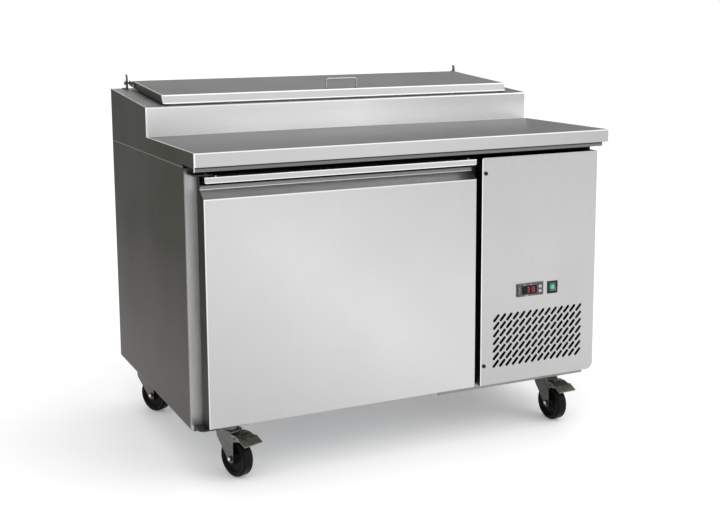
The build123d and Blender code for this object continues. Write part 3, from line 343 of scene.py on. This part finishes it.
def fins(name, axis, colour):
    """Aluminium coil faces with the shadow lines between their thin fins."""
    shader = Shader(name, metallic=1.0)
    lines = shader.bands(160, axis)
    dusty = shader.noise(16, 5)
    tone = shader.mix(shader.span(lines, 0, 1, 0.05, 0.6), (0.01, 0.01, 0.011), colour)
    shader.colour(shader.mix(shader.span(dusty, 0, 0.3), tone, scaled(colour, 0.5)))
    shader.roughness(shader.span(dusty, 0.34, 0.6))
    shader.bump((lines, 0.0006))
    return shader.material


def foam(name, primed_below):
    """Pale yellow polyurethane foam with open cells and rind patches, its lowest edge primed grey."""
    shader = Shader(name, roughness=0.9)
    patches = shader.noise(24, 5)
    cream = shader.mix(shader.span(patches, 0, 1), (0.66, 0.52, 0.25), (0.82, 0.71, 0.42))
    shader.colour(shader.mix(shader.window(shader.axis("Z"), 0, primed_below), cream, (0.22, 0.22, 0.225)))
    shader.roughness(shader.span(patches, 0.78, 0.95))
    shader.bump((shader.cells(700), 0.0004), (shader.noise(60, 4), 0.0008))
    return shader.material


def lens(name, colour):
    """Dark display window with a soft smear and fine dust."""
    shader = Shader(name, IOR=1.49, Specular_IOR_Level=0.15)
    smear = shader.noise(70, 4, (1, 1, 2.5))
    shader.colour(shader.mix(shader.span(smear, 0, 1), scaled(colour, 0.8), scaled(colour, 1.5)))
    shader.roughness(shader.span(smear, 0.08, 0.22))
    shader.bump((shader.noise(90, 2), 1e-5))
    return shader.material


def lit(name, colour, glow, node, strength):
    """A lamp behind coloured plastic: dark at the rim and bright in the middle of the given node, a little uneven."""
    shader = Shader(name, roughness=0.35)
    low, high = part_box(node)
    mid_x, mid_z, reach = (low.x + high.x) / 2, (low.z + high.z) / 2, (high.z - low.z) / 2
    across = shader.math("SUBTRACT", shader.axis("X"), mid_x)
    upward = shader.math("SUBTRACT", shader.axis("Z"), mid_z)
    far = shader.math("ADD", shader.math("MULTIPLY", across, across), shader.math("MULTIPLY", upward, upward))
    uneven = shader.span(shader.noise(700, 3), 0.85, 1.1)
    centre = shader.math("MULTIPLY", shader.span(far, 1, 0, 0, (0.75 * reach) ** 2), uneven)
    shown = shader.mix(centre, colour, glow)
    shader.colour(shown)
    shader.link(shown, shader.bsdf.inputs["Emission Color"])
    shader.bsdf.inputs["Emission Strength"].default_value = strength
    shader.roughness(shader.span(uneven, 0.25, 0.45, 0.85, 1.1))
    shader.bump((uneven, 2e-5))
    return shader.material


FINE, LONG = 2600, 14      # grain frequency across and along the brushing, per metre
UPRIGHT, ALONG_X, ALONG_DEPTH = (FINE, FINE, LONG), (LONG, FINE, FINE), (FINE, LONG, LONG)
SIDE_DULL, FACE_DULL, TOP_DULL, INNER_DULL = (0.3, 0.4), (0.27, 0.37), (0.33, 0.42), (0.22, 0.34)
TRAY_DULL = (0.3, 0.42)
SMUDGE = 0.05              # how much hand marks change the roughness
GRAIN_DEPTH, WAVINESS = 4e-6, 0.00016
STEEL_TINT = grey(0.45)    # how bright the sheet is at a grazing angle
# the next four tones are lit and painted-shade copies of one steel: sheet facing sideways, high up and lighter near
# the pale floor as a painted reflection, level sheet, sheet facing the front, and the front stiles painted darker in
# the shade of the worktop and the door
SIDE_PAINTED_SHADE = ((0.082, 0.081, 0.0685), (0.2, 0.185, 0.177))   # high up, and near the pale floor
TOP_PAINTED_SHADE = grey(0.375)
FACE_STEEL = (0.585, 0.585, 0.582)
STILE_PAINTED_SHADE = (0.42, 0.42, 0.417)
INNER_STEEL = (0.6, 0.6, 0.605)
# painted highlights along folds and rims
RIM_HIGHLIGHT = (0.97, 0.97, 0.965)
LEVEL_RIM_HIGHLIGHT = (0.92, 0.92, 0.91)
PALE_RIM_HIGHLIGHT = (0.86, 0.86, 0.855)
SHADOW = grey(0.004)
# widths of the painted highlights along a fold, a rim and the ends
RIM = 3 * MM               # width of the bright line along a fold or a rim
UPRIGHT_RIM, LEVEL_RIM = 4.6 * MM, 6 * MM
FAR = 9.0                  # past everything, for a window that is open on one side
SMOOTH_LINER = {"grain_mm": 0.8, "depth": 1e-5, "mottle": 0.02}

side_low, side_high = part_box("left_side_panel")
lid_low, lid_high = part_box("lid_shell")
door_low, door_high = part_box("door_skin")
rail_low, rail_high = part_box("door_handle_rail")
service_low, service_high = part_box("service_panel")
drip_low, drip_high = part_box("drip_rail")
recess_low_z = door_high.z - 52 * MM
recess_high_z = door_high.z - 32 * MM
counter_z = drip_high.z + 34.5 * MM
deck_front_z = counter_z + 78 * MM
half_width = CAD_BOX[1][0]

# windows are (axis, low, high, softness), in metres
LIP_RIGHT, RISER_RIGHT = ("X", 0.3, FAR, 0.42), ("X", 0.3, FAR, 0.28)
COUNTER = ("Z", counter_z - 0.4 * MM, counter_z + 0.2 * MM, 0.0002)
RISER = ("Z", counter_z + MM, deck_front_z + 4 * MM, 0.0005)
RISER_TOP = ("Z", deck_front_z - 30 * MM, FAR, 0.025)
RISER_FOOT = ("Z", 0, counter_z + 26 * MM, 0.03)
DECK = ("Z", deck_front_z + MM, FAR, 0.0005)
LEFT_OF_LID = ("X", -half_width + LEVEL_RIM, lid_low.x, 0.0005)
UNDER_COUNTER = ("Z", 0, drip_high.z, 0.0003)
AT_THE_FRONT = ("Y", -FAR, side_low.y + 3 * MM, 0.001)
BEHIND_THE_STILE = ("Y", side_low.y + 4 * MM, FAR, 0.001)
INSIDE_SERVICE = ("Y", service_low.y + 0.15 * MM, FAR, 0.0001)
GRILLE_X = ("X", service_low.x + 30 * MM, service_high.x - 20 * MM, 0.001)
GRILLE_Z = ("Z", service_low.z + 12 * MM, service_low.z + 210 * MM, 0.001)
DOOR_MIDDLE_X, DOOR_HALF_WIDTH = (door_low.x + door_high.x) / 2, (door_high.x - door_low.x) / 2

sheet_looks = {
    # painted light and shade: the stile lighter towards the door and darker along its outer edge, painted shadow
    # under the worktop, and a painted highlight along the seam at the top of the side
    "left_side_panel": brushed(
        "steel_side_panel", STILE_PAINTED_SHADE, UPRIGHT, SIDE_DULL, SIDE_PAINTED_SHADE, TOP_PAINTED_SHADE,
        painted_light_zones=(
            (scaled(STILE_PAINTED_SHADE, 1.9), ("X", side_low.x + 22 * MM, side_high.x + MM, 0.012)),
            (scaled(STILE_PAINTED_SHADE, 0.75), ("X", side_low.x - MM, side_low.x + 3 * MM, 0.0005)),
            (grey(0.1), ("Z", side_high.z - 13 * MM, FAR, 0.008))),
        painted_light_and_shade_last=(
            ((0.32, 0.32, 0.3), ("Z", side_high.z - 2.2 * MM, FAR, 0.0006), BEHIND_THE_STILE),
            (SHADOW, ("Z", side_high.z - 4 * MM, FAR, 0.001), AT_THE_FRONT))),
    # painted shadow on the front stile's top, under the drip rail
    "right_side_panel": brushed(
        "steel_right_panel", STILE_PAINTED_SHADE, UPRIGHT, SIDE_DULL, SIDE_PAINTED_SHADE, TOP_PAINTED_SHADE,
        painted_light_and_shade_last=((SHADOW, ("Z", side_high.z - 24 * MM, FAR, 0.003), AT_THE_FRONT),)),
    # painted light and shade: the front lip darker to the right; the riser lighter low down and darker at its top,
    # its left end and its right; painted highlights along the counter's edge, the deck's front edge and the ends; the
    # counter darker in its middle and more so towards the back, the deck lighter left of the lid, and painted shadow
    # under the counter at the front
    "worktop_skin": brushed(
        "steel_worktop", scaled(FACE_STEEL, 0.86), ALONG_X, TOP_DULL, SIDE_PAINTED_SHADE, TOP_PAINTED_SHADE,
        painted_light_zones=(
            (scaled(FACE_STEEL, 0.69), LIP_RIGHT),
            (scaled(FACE_STEEL, 1.45), RISER),
            (scaled(FACE_STEEL, 1.25), RISER, RISER_TOP),
            (scaled(FACE_STEEL, 1.68), RISER, RISER_FOOT),
            (scaled(FACE_STEEL, 1.3), RISER, ("X", -FAR, -0.45, 0.1)),
            (scaled(FACE_STEEL, 0.86), RISER, RISER_RIGHT),
            (scaled(FACE_STEEL, 0.74), RISER, RISER_TOP, RISER_RIGHT),
            (scaled(FACE_STEEL, 1.04), RISER, RISER_FOOT, RISER_RIGHT),
            (PALE_RIM_HIGHLIGHT, ("Z", counter_z - RIM, counter_z + MM, 0.0007)),
            (RIM_HIGHLIGHT, ("Z", deck_front_z - RIM, deck_front_z + MM, 0.0007))),
        rims=half_width,
        painted_light_and_shade_last=(
            (grey(0.32), COUNTER, ("X", -0.25, 0.28, 0.2)),
            (grey(0.255), COUNTER, ("X", -0.3, 0.15, 0.2), ("Y", lid_low.y - 120 * MM, FAR, 0.1)),
            (grey(0.58), DECK, LEFT_OF_LID),
            (grey(0.03), UNDER_COUNTER, AT_THE_FRONT))),
    # painted highlights along the lip's top and bottom edges and the end folds; its sideways and level tones are
    # painted shade
    "lid_shell": brushed(
        "steel_lid", scaled(FACE_STEEL, 0.79), ALONG_X, TOP_DULL, (scaled(SIDE_PAINTED_SHADE[0], 1.6), SIDE_PAINTED_SHADE[1]),
        grey(0.44), rims=lid_high.x,
        painted_light_zones=(
            (PALE_RIM_HIGHLIGHT, ("Z", lid_low.z + 23 * MM - RIM, lid_low.z + 24.5 * MM, 0.0007)),
            (PALE_RIM_HIGHLIGHT, ("Z", lid_low.z - MM, lid_low.z + 2.4 * MM, 0.0007)))),
    # painted light and shade in the handle recess: the slope grey, a lighter band and a highlight at its top crease,
    # the recess back darker and painted shadow under the handle rail; painted highlights along the recess's lower
    # edge and the door's left edge; a painted reflection darkens two opposite corners
    "door_skin": brushed(
        "steel_door", scaled(FACE_STEEL, 0.955), UPRIGHT, FACE_DULL, SIDE_PAINTED_SHADE,
        painted_light_zones=(
            (grey(0.46), ("Z", recess_low_z, recess_high_z, 0.0004)),
            (grey(0.93), ("Z", recess_high_z - 6 * MM, recess_high_z, 0.012)),
            (RIM_HIGHLIGHT, ("Z", recess_high_z - 1.6 * MM, recess_high_z + 0.6 * MM, 0.0005)),
            (grey(0.21), ("Z", recess_high_z + MM, door_high.z + MM, 0.0004)),
            (SHADOW, ("Z", rail_low.z - 9 * MM, FAR, 0.002)),
            (grey(0.8), ("Z", recess_low_z - RIM, recess_low_z, 0.0008)),
            (grey(0.85), ("X", door_low.x - MM, door_low.x + RIM, 0.0005), ("Z", 0, recess_low_z, 0.0005))),
        sheen=((DOOR_MIDDLE_X, DOOR_HALF_WIDTH), (0.45, 0.31))),
    # painted highlights along the rail's lower and upper edges, and painted shadow on its top behind the front
    "door_handle_rail": brushed(
        "steel_rail", scaled(FACE_STEEL, 0.85), ALONG_X, FACE_DULL, SIDE_PAINTED_SHADE,
        painted_light_zones=(
            (grey(0.85), ("Z", rail_low.z - MM, rail_low.z + 2.2 * MM, 0.0006)),
            (grey(0.85), ("Z", rail_low.z + 13 * MM, rail_high.z + MM, 0.0006))),
        painted_light_and_shade_last=((grey(0.04), ("Z", rail_high.z - 0.3 * MM, FAR, 0.0001),
                     ("Y", rail_low.y + 4 * MM, FAR, 0.002)),)),
    # painted highlight along its left edge, painted shade inside the grille's slots, and painted shadow on its top
    # flange
    "service_panel": brushed(
        "steel_service", scaled(FACE_STEEL, 0.775), UPRIGHT, FACE_DULL, SIDE_PAINTED_SHADE, TOP_PAINTED_SHADE,
        painted_light_zones=((RIM_HIGHLIGHT, ("X", service_low.x - MM, service_low.x + 2 * MM, 0.0005)),),
        painted_light_and_shade_last=(
            (SHADOW, INSIDE_SERVICE, GRILLE_X, GRILLE_Z),
            (SHADOW, ("Z", service_high.z - 0.3 * MM, FAR, 0.0001), ("Y", service_low.y + 3 * MM, FAR, 0.001)))),
    # painted shadow along the frame's top, under the drip rail
    "front_frame": brushed(
        "steel_frame", FACE_STEEL, UPRIGHT, FACE_DULL, SIDE_PAINTED_SHADE, TOP_PAINTED_SHADE,
        painted_light_and_shade_last=((SHADOW, ("Z", service_high.z - 4 * MM, FAR, 0.001)),)),
    # painted shade: the set-back rail darker overall and its top darker still in the lip's shadow, with a painted
    # highlight along its left end
    "drip_rail": brushed(
        "steel_drip_rail", grey(0.168), ALONG_X, SIDE_DULL, SIDE_PAINTED_SHADE, grey(0.1),
        painted_light_zones=(
            (scaled(STILE_PAINTED_SHADE, 0.1), ("Z", drip_low.z + 7.5 * MM, FAR, 0.0012)),
            ((0.7, 0.7, 0.68), ("X", -FAR, drip_low.x + 2.5 * MM, 0.0005)))),
    "machine_tray": brushed("steel_tray", grey(0.26), ALONG_X, TRAY_DULL, SIDE_PAINTED_SHADE, TOP_PAINTED_SHADE),
    "lid_brackets": painted("paint_bracket", grey(0.07), 0.5),
    "lid_pivot_arms": zinc_plated("pivot_zinc", (0.13, 0.13, 0.128)),
    "lid_handle": zinc_plated("wire_handle", grey(0.4)),
    "lid_insulation": moulded("lid_liner", (0.56, 0.565, 0.56), 0.38, **SMOOTH_LINER),
    "panel_screws": painted("paint_screw", grey(0.006), 0.5, shine=0.15),
}

finishes = {
    # the sideways and level tones of these steels are painted shade
    "stainless_side": brushed("steel_side", FACE_STEEL, UPRIGHT, SIDE_DULL, SIDE_PAINTED_SHADE, TOP_PAINTED_SHADE),
    "stainless_face": brushed("steel_face", FACE_STEEL, UPRIGHT, FACE_DULL, SIDE_PAINTED_SHADE, TOP_PAINTED_SHADE),
    "stainless_top": brushed("steel_top", FACE_STEEL, ALONG_X, TOP_DULL, SIDE_PAINTED_SHADE, TOP_PAINTED_SHADE),
    "stainless_inner": brushed("steel_inner", INNER_STEEL, ALONG_DEPTH, INNER_DULL),
    "galvanised": galvanised("galvanised_sheet", (0.5, 0.51, 0.525)),
    "foam": foam("cabinet_foam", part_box("cabinet_insulation")[0].z + 8 * MM),
    "black_plastic": moulded("plastic_black", (0.012, 0.012, 0.0125), 0.5, shine=0.22),
    "grey_plastic": moulded("plastic_grey", (0.06, 0.06, 0.063), 0.44, mottle=0.25),
    "light_plastic": moulded("plastic_light", (0.42, 0.415, 0.43), 0.42),
    "white_plastic": moulded("plastic_white", (0.6, 0.605, 0.6), 0.36, **SMOOTH_LINER),
    "gasket_rubber": rubber("gasket", (0.075, 0.075, 0.077), 0.6),
    "display_lens": lens("display", grey(0.004)),
    "green_rocker": lit("rocker_green", (0.006, 0.065, 0.04), (0.1, 0.44, 0.28), "switch_rocker", 0.1),
    "zinc": zinc_plated("zinc", grey(0.15)),
    "pedal_steel": zinc_plated("pedal", (0.2, 0.2, 0.175)),
    "wheel_rubber": rubber("wheel", (0.003, 0.003, 0.0031), 0.45, dusty=0.02, shine=0.1),
    "copper": copper("copper_tube"),
    "coil_fins": fins("coil", "X", (0.12, 0.122, 0.126)),
    "black_enamel": painted("enamel_black", (0.012, 0.012, 0.013), 0.28, coat=0.5),
    "black_steel": painted("paint_black", (0.02, 0.02, 0.021), 0.42),
}

record = frame["record"]
slot_of = {part["node"]: part["material_slot"] for part in record["subparts"]}
for name, node in NODES.items():
    node.data.materials.clear()
    node.data.materials.append(sheet_looks.get(name, finishes[slot_of[name]]))


def soften(name, width):
    """Round a CAD node's folds and rims so that they catch the light as real ones do."""
    node = NODES[name]
    weld = node.modifiers.new("weld", "WELD")
    weld.merge_threshold = 1e-5
    bevel = node.modifiers.new("folds", "BEVEL")
    bevel.width = width
    bevel.segments = 2
    bevel.limit_method = "ANGLE"
    bevel.angle_limit = radians(35)
    bevel.use_clamp_overlap = True
    bevel.harden_normals = True


FOLD_RADIUS = 0.9 * MM
for name in ("left_side_panel", "right_side_panel", "service_panel"):
    soften(name, FOLD_RADIUS)


# ---------------------------------------------------------------- small pieces
HEAD_SIDES = 20
WIRE_STEEL = (0.5, 0.5, 0.49)
THIN_EDGE = 0.00002        # rounding of printed marks and recesses


def add_object(name, data, material, body):
    """A scene object from mesh or curve data, riding on a CAD body."""
    data.materials.append(material)
    made = bpy.data.objects.new(name, data)
    bpy.context.scene.collection.objects.link(made)
    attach(made, body)
    return made


def add_mesh(name, shape, material, body):
    """An object from a bmesh, which is used up."""
    mesh = bpy.data.meshes.new(name)
    shape.to_mesh(mesh)
    shape.free()
    return add_object(name, mesh, material, body)


def slab(shape, centre, size, turn=0.0, edge=0.00008):
    """Add a small block with softened edges, turned about Y."""
    place = Matrix.Translation(centre) @ Matrix.Rotation(turn, 4, "Y") @ Matrix.Diagonal((*size, 1))
    corners = bmesh.ops.create_cube(shape, size=1.0, matrix=place)["verts"]
    rims = list({rim for corner in corners for rim in corner.link_edges})
    bmesh.ops.bevel(shape, geom=rims, offset=edge, segments=2, affect="EDGES", profile=0.5)


def domed_head(shape, centre, outward, radius, height):
    """Add a domed rivet or screw head that stands out along a direction."""
    turned = Vector(outward).to_track_quat("Z", "Y").to_matrix().to_4x4()
    rings = []
    for share in (1.0, 0.92, 0.7, 0.36):
        rise = height * (1 - share ** 2) + (height * 0.25 if share < 1 else 0)
        place = Matrix.Translation(centre) @ turned @ Matrix.Translation((0, 0, rise * 0.8))
        circle = bmesh.ops.create_circle(shape, segments=HEAD_SIDES, radius=radius * share, matrix=place)
        rings.append(circle["verts"])
    for outer, inner in zip(rings, rings[1:]):
        for index in range(HEAD_SIDES):
            after = (index + 1) % HEAD_SIDES
            shape.faces.new((outer[index], outer[after], inner[after], inner[index]))
    shape.faces.new(rings[-1])
    shape.faces.new(list(reversed(rings[0])))


def add_wires(name, runs, material, body):
    """Round wires: each run is its points, its radius and whether it closes on itself."""
    curve = bpy.data.curves.new(name, "CURVE")
    curve.dimensions = "3D"
    curve.bevel_depth = MM
    curve.bevel_resolution = 3
    curve.use_fill_caps = True
    for points, radius, closed in runs:
        spline = curve.splines.new("POLY")
        spline.points.add(len(points) - 1)
        spline.use_cyclic_u = closed
        for knot, point in zip(spline.points, points):
            knot.co = (*point, 1)
            knot.radius = radius / MM
    return add_object(name, curve, material, body)


def arc(centre, radius, start, stop, count, plane):
    """Points on an arc in the XY or the YZ plane."""
    angles = [start + (stop - start) * step / (count - 1) for step in range(count)]
    flat = [(radius * cos(angle), radius * sin(angle)) for angle in angles]
    if plane == "XY":
        return [Vector(centre) + Vector((u, v, 0)) for u, v in flat]
    return [Vector(centre) + Vector((0, u, v)) for u, v in flat]


# red lamp segments that glow a little unevenly
red_lamp = Shader("digit_red", roughness=0.4, Emission_Strength=0.35)
red_uneven = red_lamp.noise(900, 3)
red_glow = red_lamp.mix(red_lamp.span(red_uneven, 0, 1), (0.3, 0.008, 0.03), (0.45, 0.015, 0.05))
red_lamp.colour(red_glow)
red_lamp.link(red_glow, red_lamp.bsdf.inputs["Emission Color"])
red_lamp.roughness(red_lamp.span(red_uneven, 0.3, 0.5))
red_lamp.bump((red_uneven, 2e-5))

# display: two plain lamp digits, and printed marks round them
window_low, window_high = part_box("controller_window")
SEGMENTS = {               # each bar's place in a digit, in half widths and half heights, and whether it is level
    "a": (0, 1, True), "b": (1, 0.5, False), "c": (1, -0.5, False), "d": (0, -1, True),
    "e": (-1, -0.5, False), "f": (-1, 0.5, False), "g": (0, 0, True),
}
DIGITS = ((21.5 * MM, "abcdg"), (38.5 * MM, "abcdefg"))     # each digit's place in the window and its lit bars
HALF_DIGIT_W, HALF_DIGIT_H = 3.3 * MM, 7.0 * MM
BAR_W, BAR_DEPTH = 2.3 * MM, 0.16 * MM
LEVEL_BAR, UPRIGHT_BAR = (4.2 * MM, BAR_DEPTH, BAR_W), (BAR_W, BAR_DEPTH, 5.6 * MM)
digits = bmesh.new()
for place_x, segments in DIGITS:
    for letter in segments:
        across, upward, level = SEGMENTS[letter]
        middle = (window_low.x + place_x + across * HALF_DIGIT_W, window_low.y - 0.1 * MM,
                  (window_low.z + window_high.z) / 2 + upward * HALF_DIGIT_H)
        slab(digits, middle, LEVEL_BAR if level else UPRIGHT_BAR)
add_mesh("display_digits", digits, red_lamp.material, "cabinet")

body_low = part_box("controller_body")[0]
SIDE_MARKS = tuple((6, mark_z, 2.2) for mark_z in (25, 18, 11))     # place across and up, and width, in mm
EDGE_MARKS = ((22, 32.6, 5), (44, 32.6, 5), (30, 3.2, 9))
MARK_DEPTH, MARK_HEIGHT = 0.06 * MM, 1.5 * MM
marks = bmesh.new()
for mark_x, mark_z, mark_w in SIDE_MARKS + EDGE_MARKS:
    slab(marks, (body_low.x + mark_x * MM, body_low.y - 0.04 * MM, body_low.z + mark_z * MM),
         (mark_w * MM, MARK_DEPTH, MARK_HEIGHT), edge=THIN_EDGE)
add_mesh("controller_marks", marks, moulded("printed_marks", (0.5, 0.5, 0.51), 0.6), "cabinet")

# cross recesses in the heads of the service panel's screws, drawn as flat near-black marks: painted shade in the
# recesses
screw_low, screw_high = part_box("panel_screws")
head_r = (screw_high.x - screw_low.x) / 2
crosses = bmesh.new()
for head_z in (screw_low.z + head_r, screw_high.z - head_r):
    for turn in (radians(20), radians(110)):
        slab(crosses, ((screw_low.x + screw_high.x) / 2, screw_low.y - 0.03 * MM, head_z),
             (1.15 * head_r, 0.05 * MM, 1.2 * MM), turn, THIN_EDGE)
add_mesh("screw_recesses", crosses, painted("recess_painted_shade", grey(0.003), 0.6), "cabinet")

# shelf of round wire in place of the square-edged one
shelf_low, shelf_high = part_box("wire_shelf")
FRAME_R, BAR_R, WIRE_R, CORNER_R = 2.9 * MM, 2.4 * MM, 1.7 * MM, 12 * MM
WIRE_COUNT, WIRE_PITCH = 25, 27 * MM
west, east = shelf_low.x + FRAME_R, shelf_high.x - FRAME_R
south, north = shelf_low.y + FRAME_R, shelf_high.y - FRAME_R
frame_z, bar_z, wire_z = shelf_low.z + FRAME_R, shelf_low.z + BAR_R, shelf_high.z - WIRE_R
corners = ((east - CORNER_R, north - CORNER_R), (west + CORNER_R, north - CORNER_R),
           (west + CORNER_R, south + CORNER_R), (east - CORNER_R, south + CORNER_R))
loop = []
for quarter, (x, y) in enumerate(corners):
    loop += arc((x, y, frame_z), CORNER_R, quarter * pi / 2, (quarter + 1) * pi / 2, 7, "XY")
runs = [(loop, FRAME_R, True)]
for bar_y in (-90 * MM, 130 * MM):
    runs.append((((west, bar_y, bar_z), (east, bar_y, bar_z)), BAR_R, False))
for index in range(WIRE_COUNT):
    wire_x = (west + east) / 2 + (index - WIRE_COUNT // 2) * WIRE_PITCH
    runs.append((((wire_x, south, wire_z), (wire_x, north, wire_z)), WIRE_R, False))
shelf = add_wires("round_wire_shelf", runs, zinc_plated("shelf_wire", WIRE_STEEL), "cabinet")
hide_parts("wire_shelf")

# guard over the evaporator's fan
fan_low, fan_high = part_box("evaporator_fan")
housing_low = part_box("evaporator_housing")[0]
RING_POINTS, SPOKES, SPOKE_REACH = 36, 4, 66 * MM
guard_centre = Vector((housing_low.x - 1.3 * MM, (fan_low.y + fan_high.y) / 2, (fan_low.z + fan_high.z) / 2))
last_angle = tau * (RING_POINTS - 1) / RING_POINTS
guard = [(arc(guard_centre, ring * MM, 0, last_angle, RING_POINTS, "YZ"), MM, True) for ring in range(14, 65, 10)]
behind_rings = guard_centre + Vector((0.1 * MM, 0, 0))
for spoke in range(SPOKES):
    angle = spoke * pi / SPOKES
    reach = Vector((0, cos(angle), sin(angle))) * SPOKE_REACH
    guard.append(((behind_rings - reach, behind_rings + reach), MM, False))
add_wires("fan_guard", guard, zinc_plated("guard_wire", WIRE_STEEL), "cabinet")

# screws round the rear vent and along the back panel
SCREW_R, SCREW_HEIGHT, TO_THE_BACK = 3.6 * MM, 1.6 * MM, (0, 1, 0)
VENT_INSET, BACK_INSET_X, BACK_INSET_Z, BACK_SCREWS = 8 * MM, 12 * MM, 20 * MM, 5
heads = bmesh.new()
vent_low, vent_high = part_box("rear_vent_panel")
for x in (vent_low.x + VENT_INSET, (vent_low.x + vent_high.x) / 2, vent_high.x - VENT_INSET):
    for z in (vent_low.z + VENT_INSET, vent_high.z - VENT_INSET):
        domed_head(heads, (x, vent_high.y, z), TO_THE_BACK, SCREW_R, SCREW_HEIGHT)
back_low, back_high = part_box("back_panel")
back_pitch = (back_high.z - back_low.z - 2 * BACK_INSET_Z) / (BACK_SCREWS - 1)
for step in range(BACK_SCREWS):
    for x in (back_low.x + BACK_INSET_X, back_high.x - BACK_INSET_X):
        place = (x, back_high.y, back_low.z + BACK_INSET_Z + step * back_pitch)
        domed_head(heads, place, TO_THE_BACK, SCREW_R, SCREW_HEIGHT)
add_mesh("rear_screws", heads, zinc_plated("screw_zinc", (0.45, 0.45, 0.44)), "cabinet")

# domed ends of the caster axles, standing out from the fork where it surrounds the hub
AXLE_R, AXLE_RISE = 5 * MM, 1.8 * MM
NEAR_HUB_Z, NEAR_HUB_XY = 5 * MM, 32 * MM
axle_steel = zinc_plated("axle_zinc", (0.75, 0.75, 0.74))
axis_of = {joint["name"]: joint["axis"] for joint in record["behaviour"]["joints"]}
for place in ("front_left", "front_right", "rear_left", "rear_right"):
    wheel_low, wheel_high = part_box("caster_wheel_" + place)
    hub = (wheel_low + wheel_high) / 2
    fork = NODES["caster_fork_" + place]
    from_hub = [fork.matrix_world @ corner.co - hub for corner in fork.data.vertices]
    near = [point for point in from_hub if abs(point.z) < NEAR_HUB_Z and point.xy.length < NEAR_HUB_XY]
    outward = Vector(axis_of["wheel_spin_" + place])
    ends = bmesh.new()
    for side in (-1, 1):
        reach = max(side * point.dot(outward) for point in near) + 0.05 * MM
        domed_head(ends, hub + outward * side * reach, outward * side, AXLE_R, AXLE_RISE)
    add_mesh("axle_ends_" + place, ends, axle_steel, "caster_fork_" + place)


# ---------------------------------------------------------------- floor and light
FLOOR = 40                 # half size of the floor, in metres
floor_shader = Shader("floor", roughness=0.6, Emission_Color=(1, 1, 1, 1), Emission_Strength=0.17)
floor_cloud = floor_shader.noise(0.8, 4)
floor_shader.colour(floor_shader.mix(floor_shader.span(floor_cloud, 0, 1), grey(0.92), grey(0.94)))
floor_shader.roughness(floor_shader.span(floor_cloud, 0.55, 0.65))
floor_mesh = bpy.data.meshes.new("floor")
floor_corners = [(-FLOOR, -FLOOR, 0), (FLOOR, -FLOOR, 0), (FLOOR, FLOOR, 0), (-FLOOR, FLOOR, 0)]
floor_mesh.from_pydata(floor_corners, [], [(0, 1, 2, 3)])
floor_mesh.materials.append(floor_shader.material)
floor = bpy.data.objects.new("floor", floor_mesh)
bpy.context.scene.collection.objects.link(floor)

world = bpy.data.worlds.new("studio")
world.use_nodes = True
bpy.context.scene.world = world
sky_nodes, sky_links = world.node_tree.nodes, world.node_tree.links
background = sky_nodes["Background"]
background.inputs["Color"].default_value = (1, 1, 1, 1)


def sky_node(kind, **settings):
    made = sky_nodes.new(kind)
    for key, value in settings.items():
        setattr(made, key, value)
    return made


direction = sky_node("ShaderNodeTexCoord").outputs["Generated"]


def lobe(towards, edge_low, edge_high, level):
    """Light that comes from round one direction and fades to nothing at its edge."""
    dot = sky_node("ShaderNodeVectorMath", operation="DOT_PRODUCT")
    sky_links.new(direction, dot.inputs[0])
    dot.inputs[1].default_value = Vector(towards).normalized()
    fade = sky_node("ShaderNodeMapRange", interpolation_type="SMOOTHSTEP")
    for socket, number in (("From Min", edge_low), ("From Max", edge_high), ("To Min", 0), ("To Max", level)):
        fade.inputs[socket].default_value = number
    sky_links.new(dot.outputs["Value"], fade.inputs["Value"])
    return fade.outputs["Result"]


def total(*values):
    """Sum of several light levels."""
    running = values[0]
    for value in values[1:]:
        add = sky_node("ShaderNodeMath", operation="ADD")
        for slot, source in enumerate((running, value)):
            if isinstance(source, float):
                add.inputs[slot].default_value = source
            else:
                sky_links.new(source, add.inputs[slot])
        running = add.outputs[0]
    return running


overhead = lobe((0, 0, 1), 0.35, 0.95, 0.6)
front_right = lobe((0.55, -0.8, 0.25), 0.1, 0.95, 0.4)
ALL_ROUND = 0.6
light_path = sky_node("ShaderNodeLightPath")
backdrop = sky_node("ShaderNodeMix", data_type="FLOAT")     # plain white where the camera sees past the table
sky_links.new(light_path.outputs["Is Camera Ray"], backdrop.inputs["Factor"])
sky_links.new(total(overhead, front_right, ALL_ROUND), backdrop.inputs[2])
backdrop.inputs[3].default_value = 1.0
sky_links.new(backdrop.outputs[0], background.inputs["Strength"])

KEY_PLACE, KEY_TARGET = Vector((2.6, -3.2, 2.6)), Vector((0.1, -0.3, 0.4))
key_data = bpy.data.lights.new("key", "AREA")
key_data.shape = "RECTANGLE"
key_data.size, key_data.size_y = 2.6, 2.2
key_data.energy = 45
key = bpy.data.objects.new("key", key_data)
key.location = KEY_PLACE
key.rotation_euler = (KEY_TARGET - KEY_PLACE).to_track_quat("-Z", "Y").to_euler()
bpy.context.scene.collection.objects.link(key)
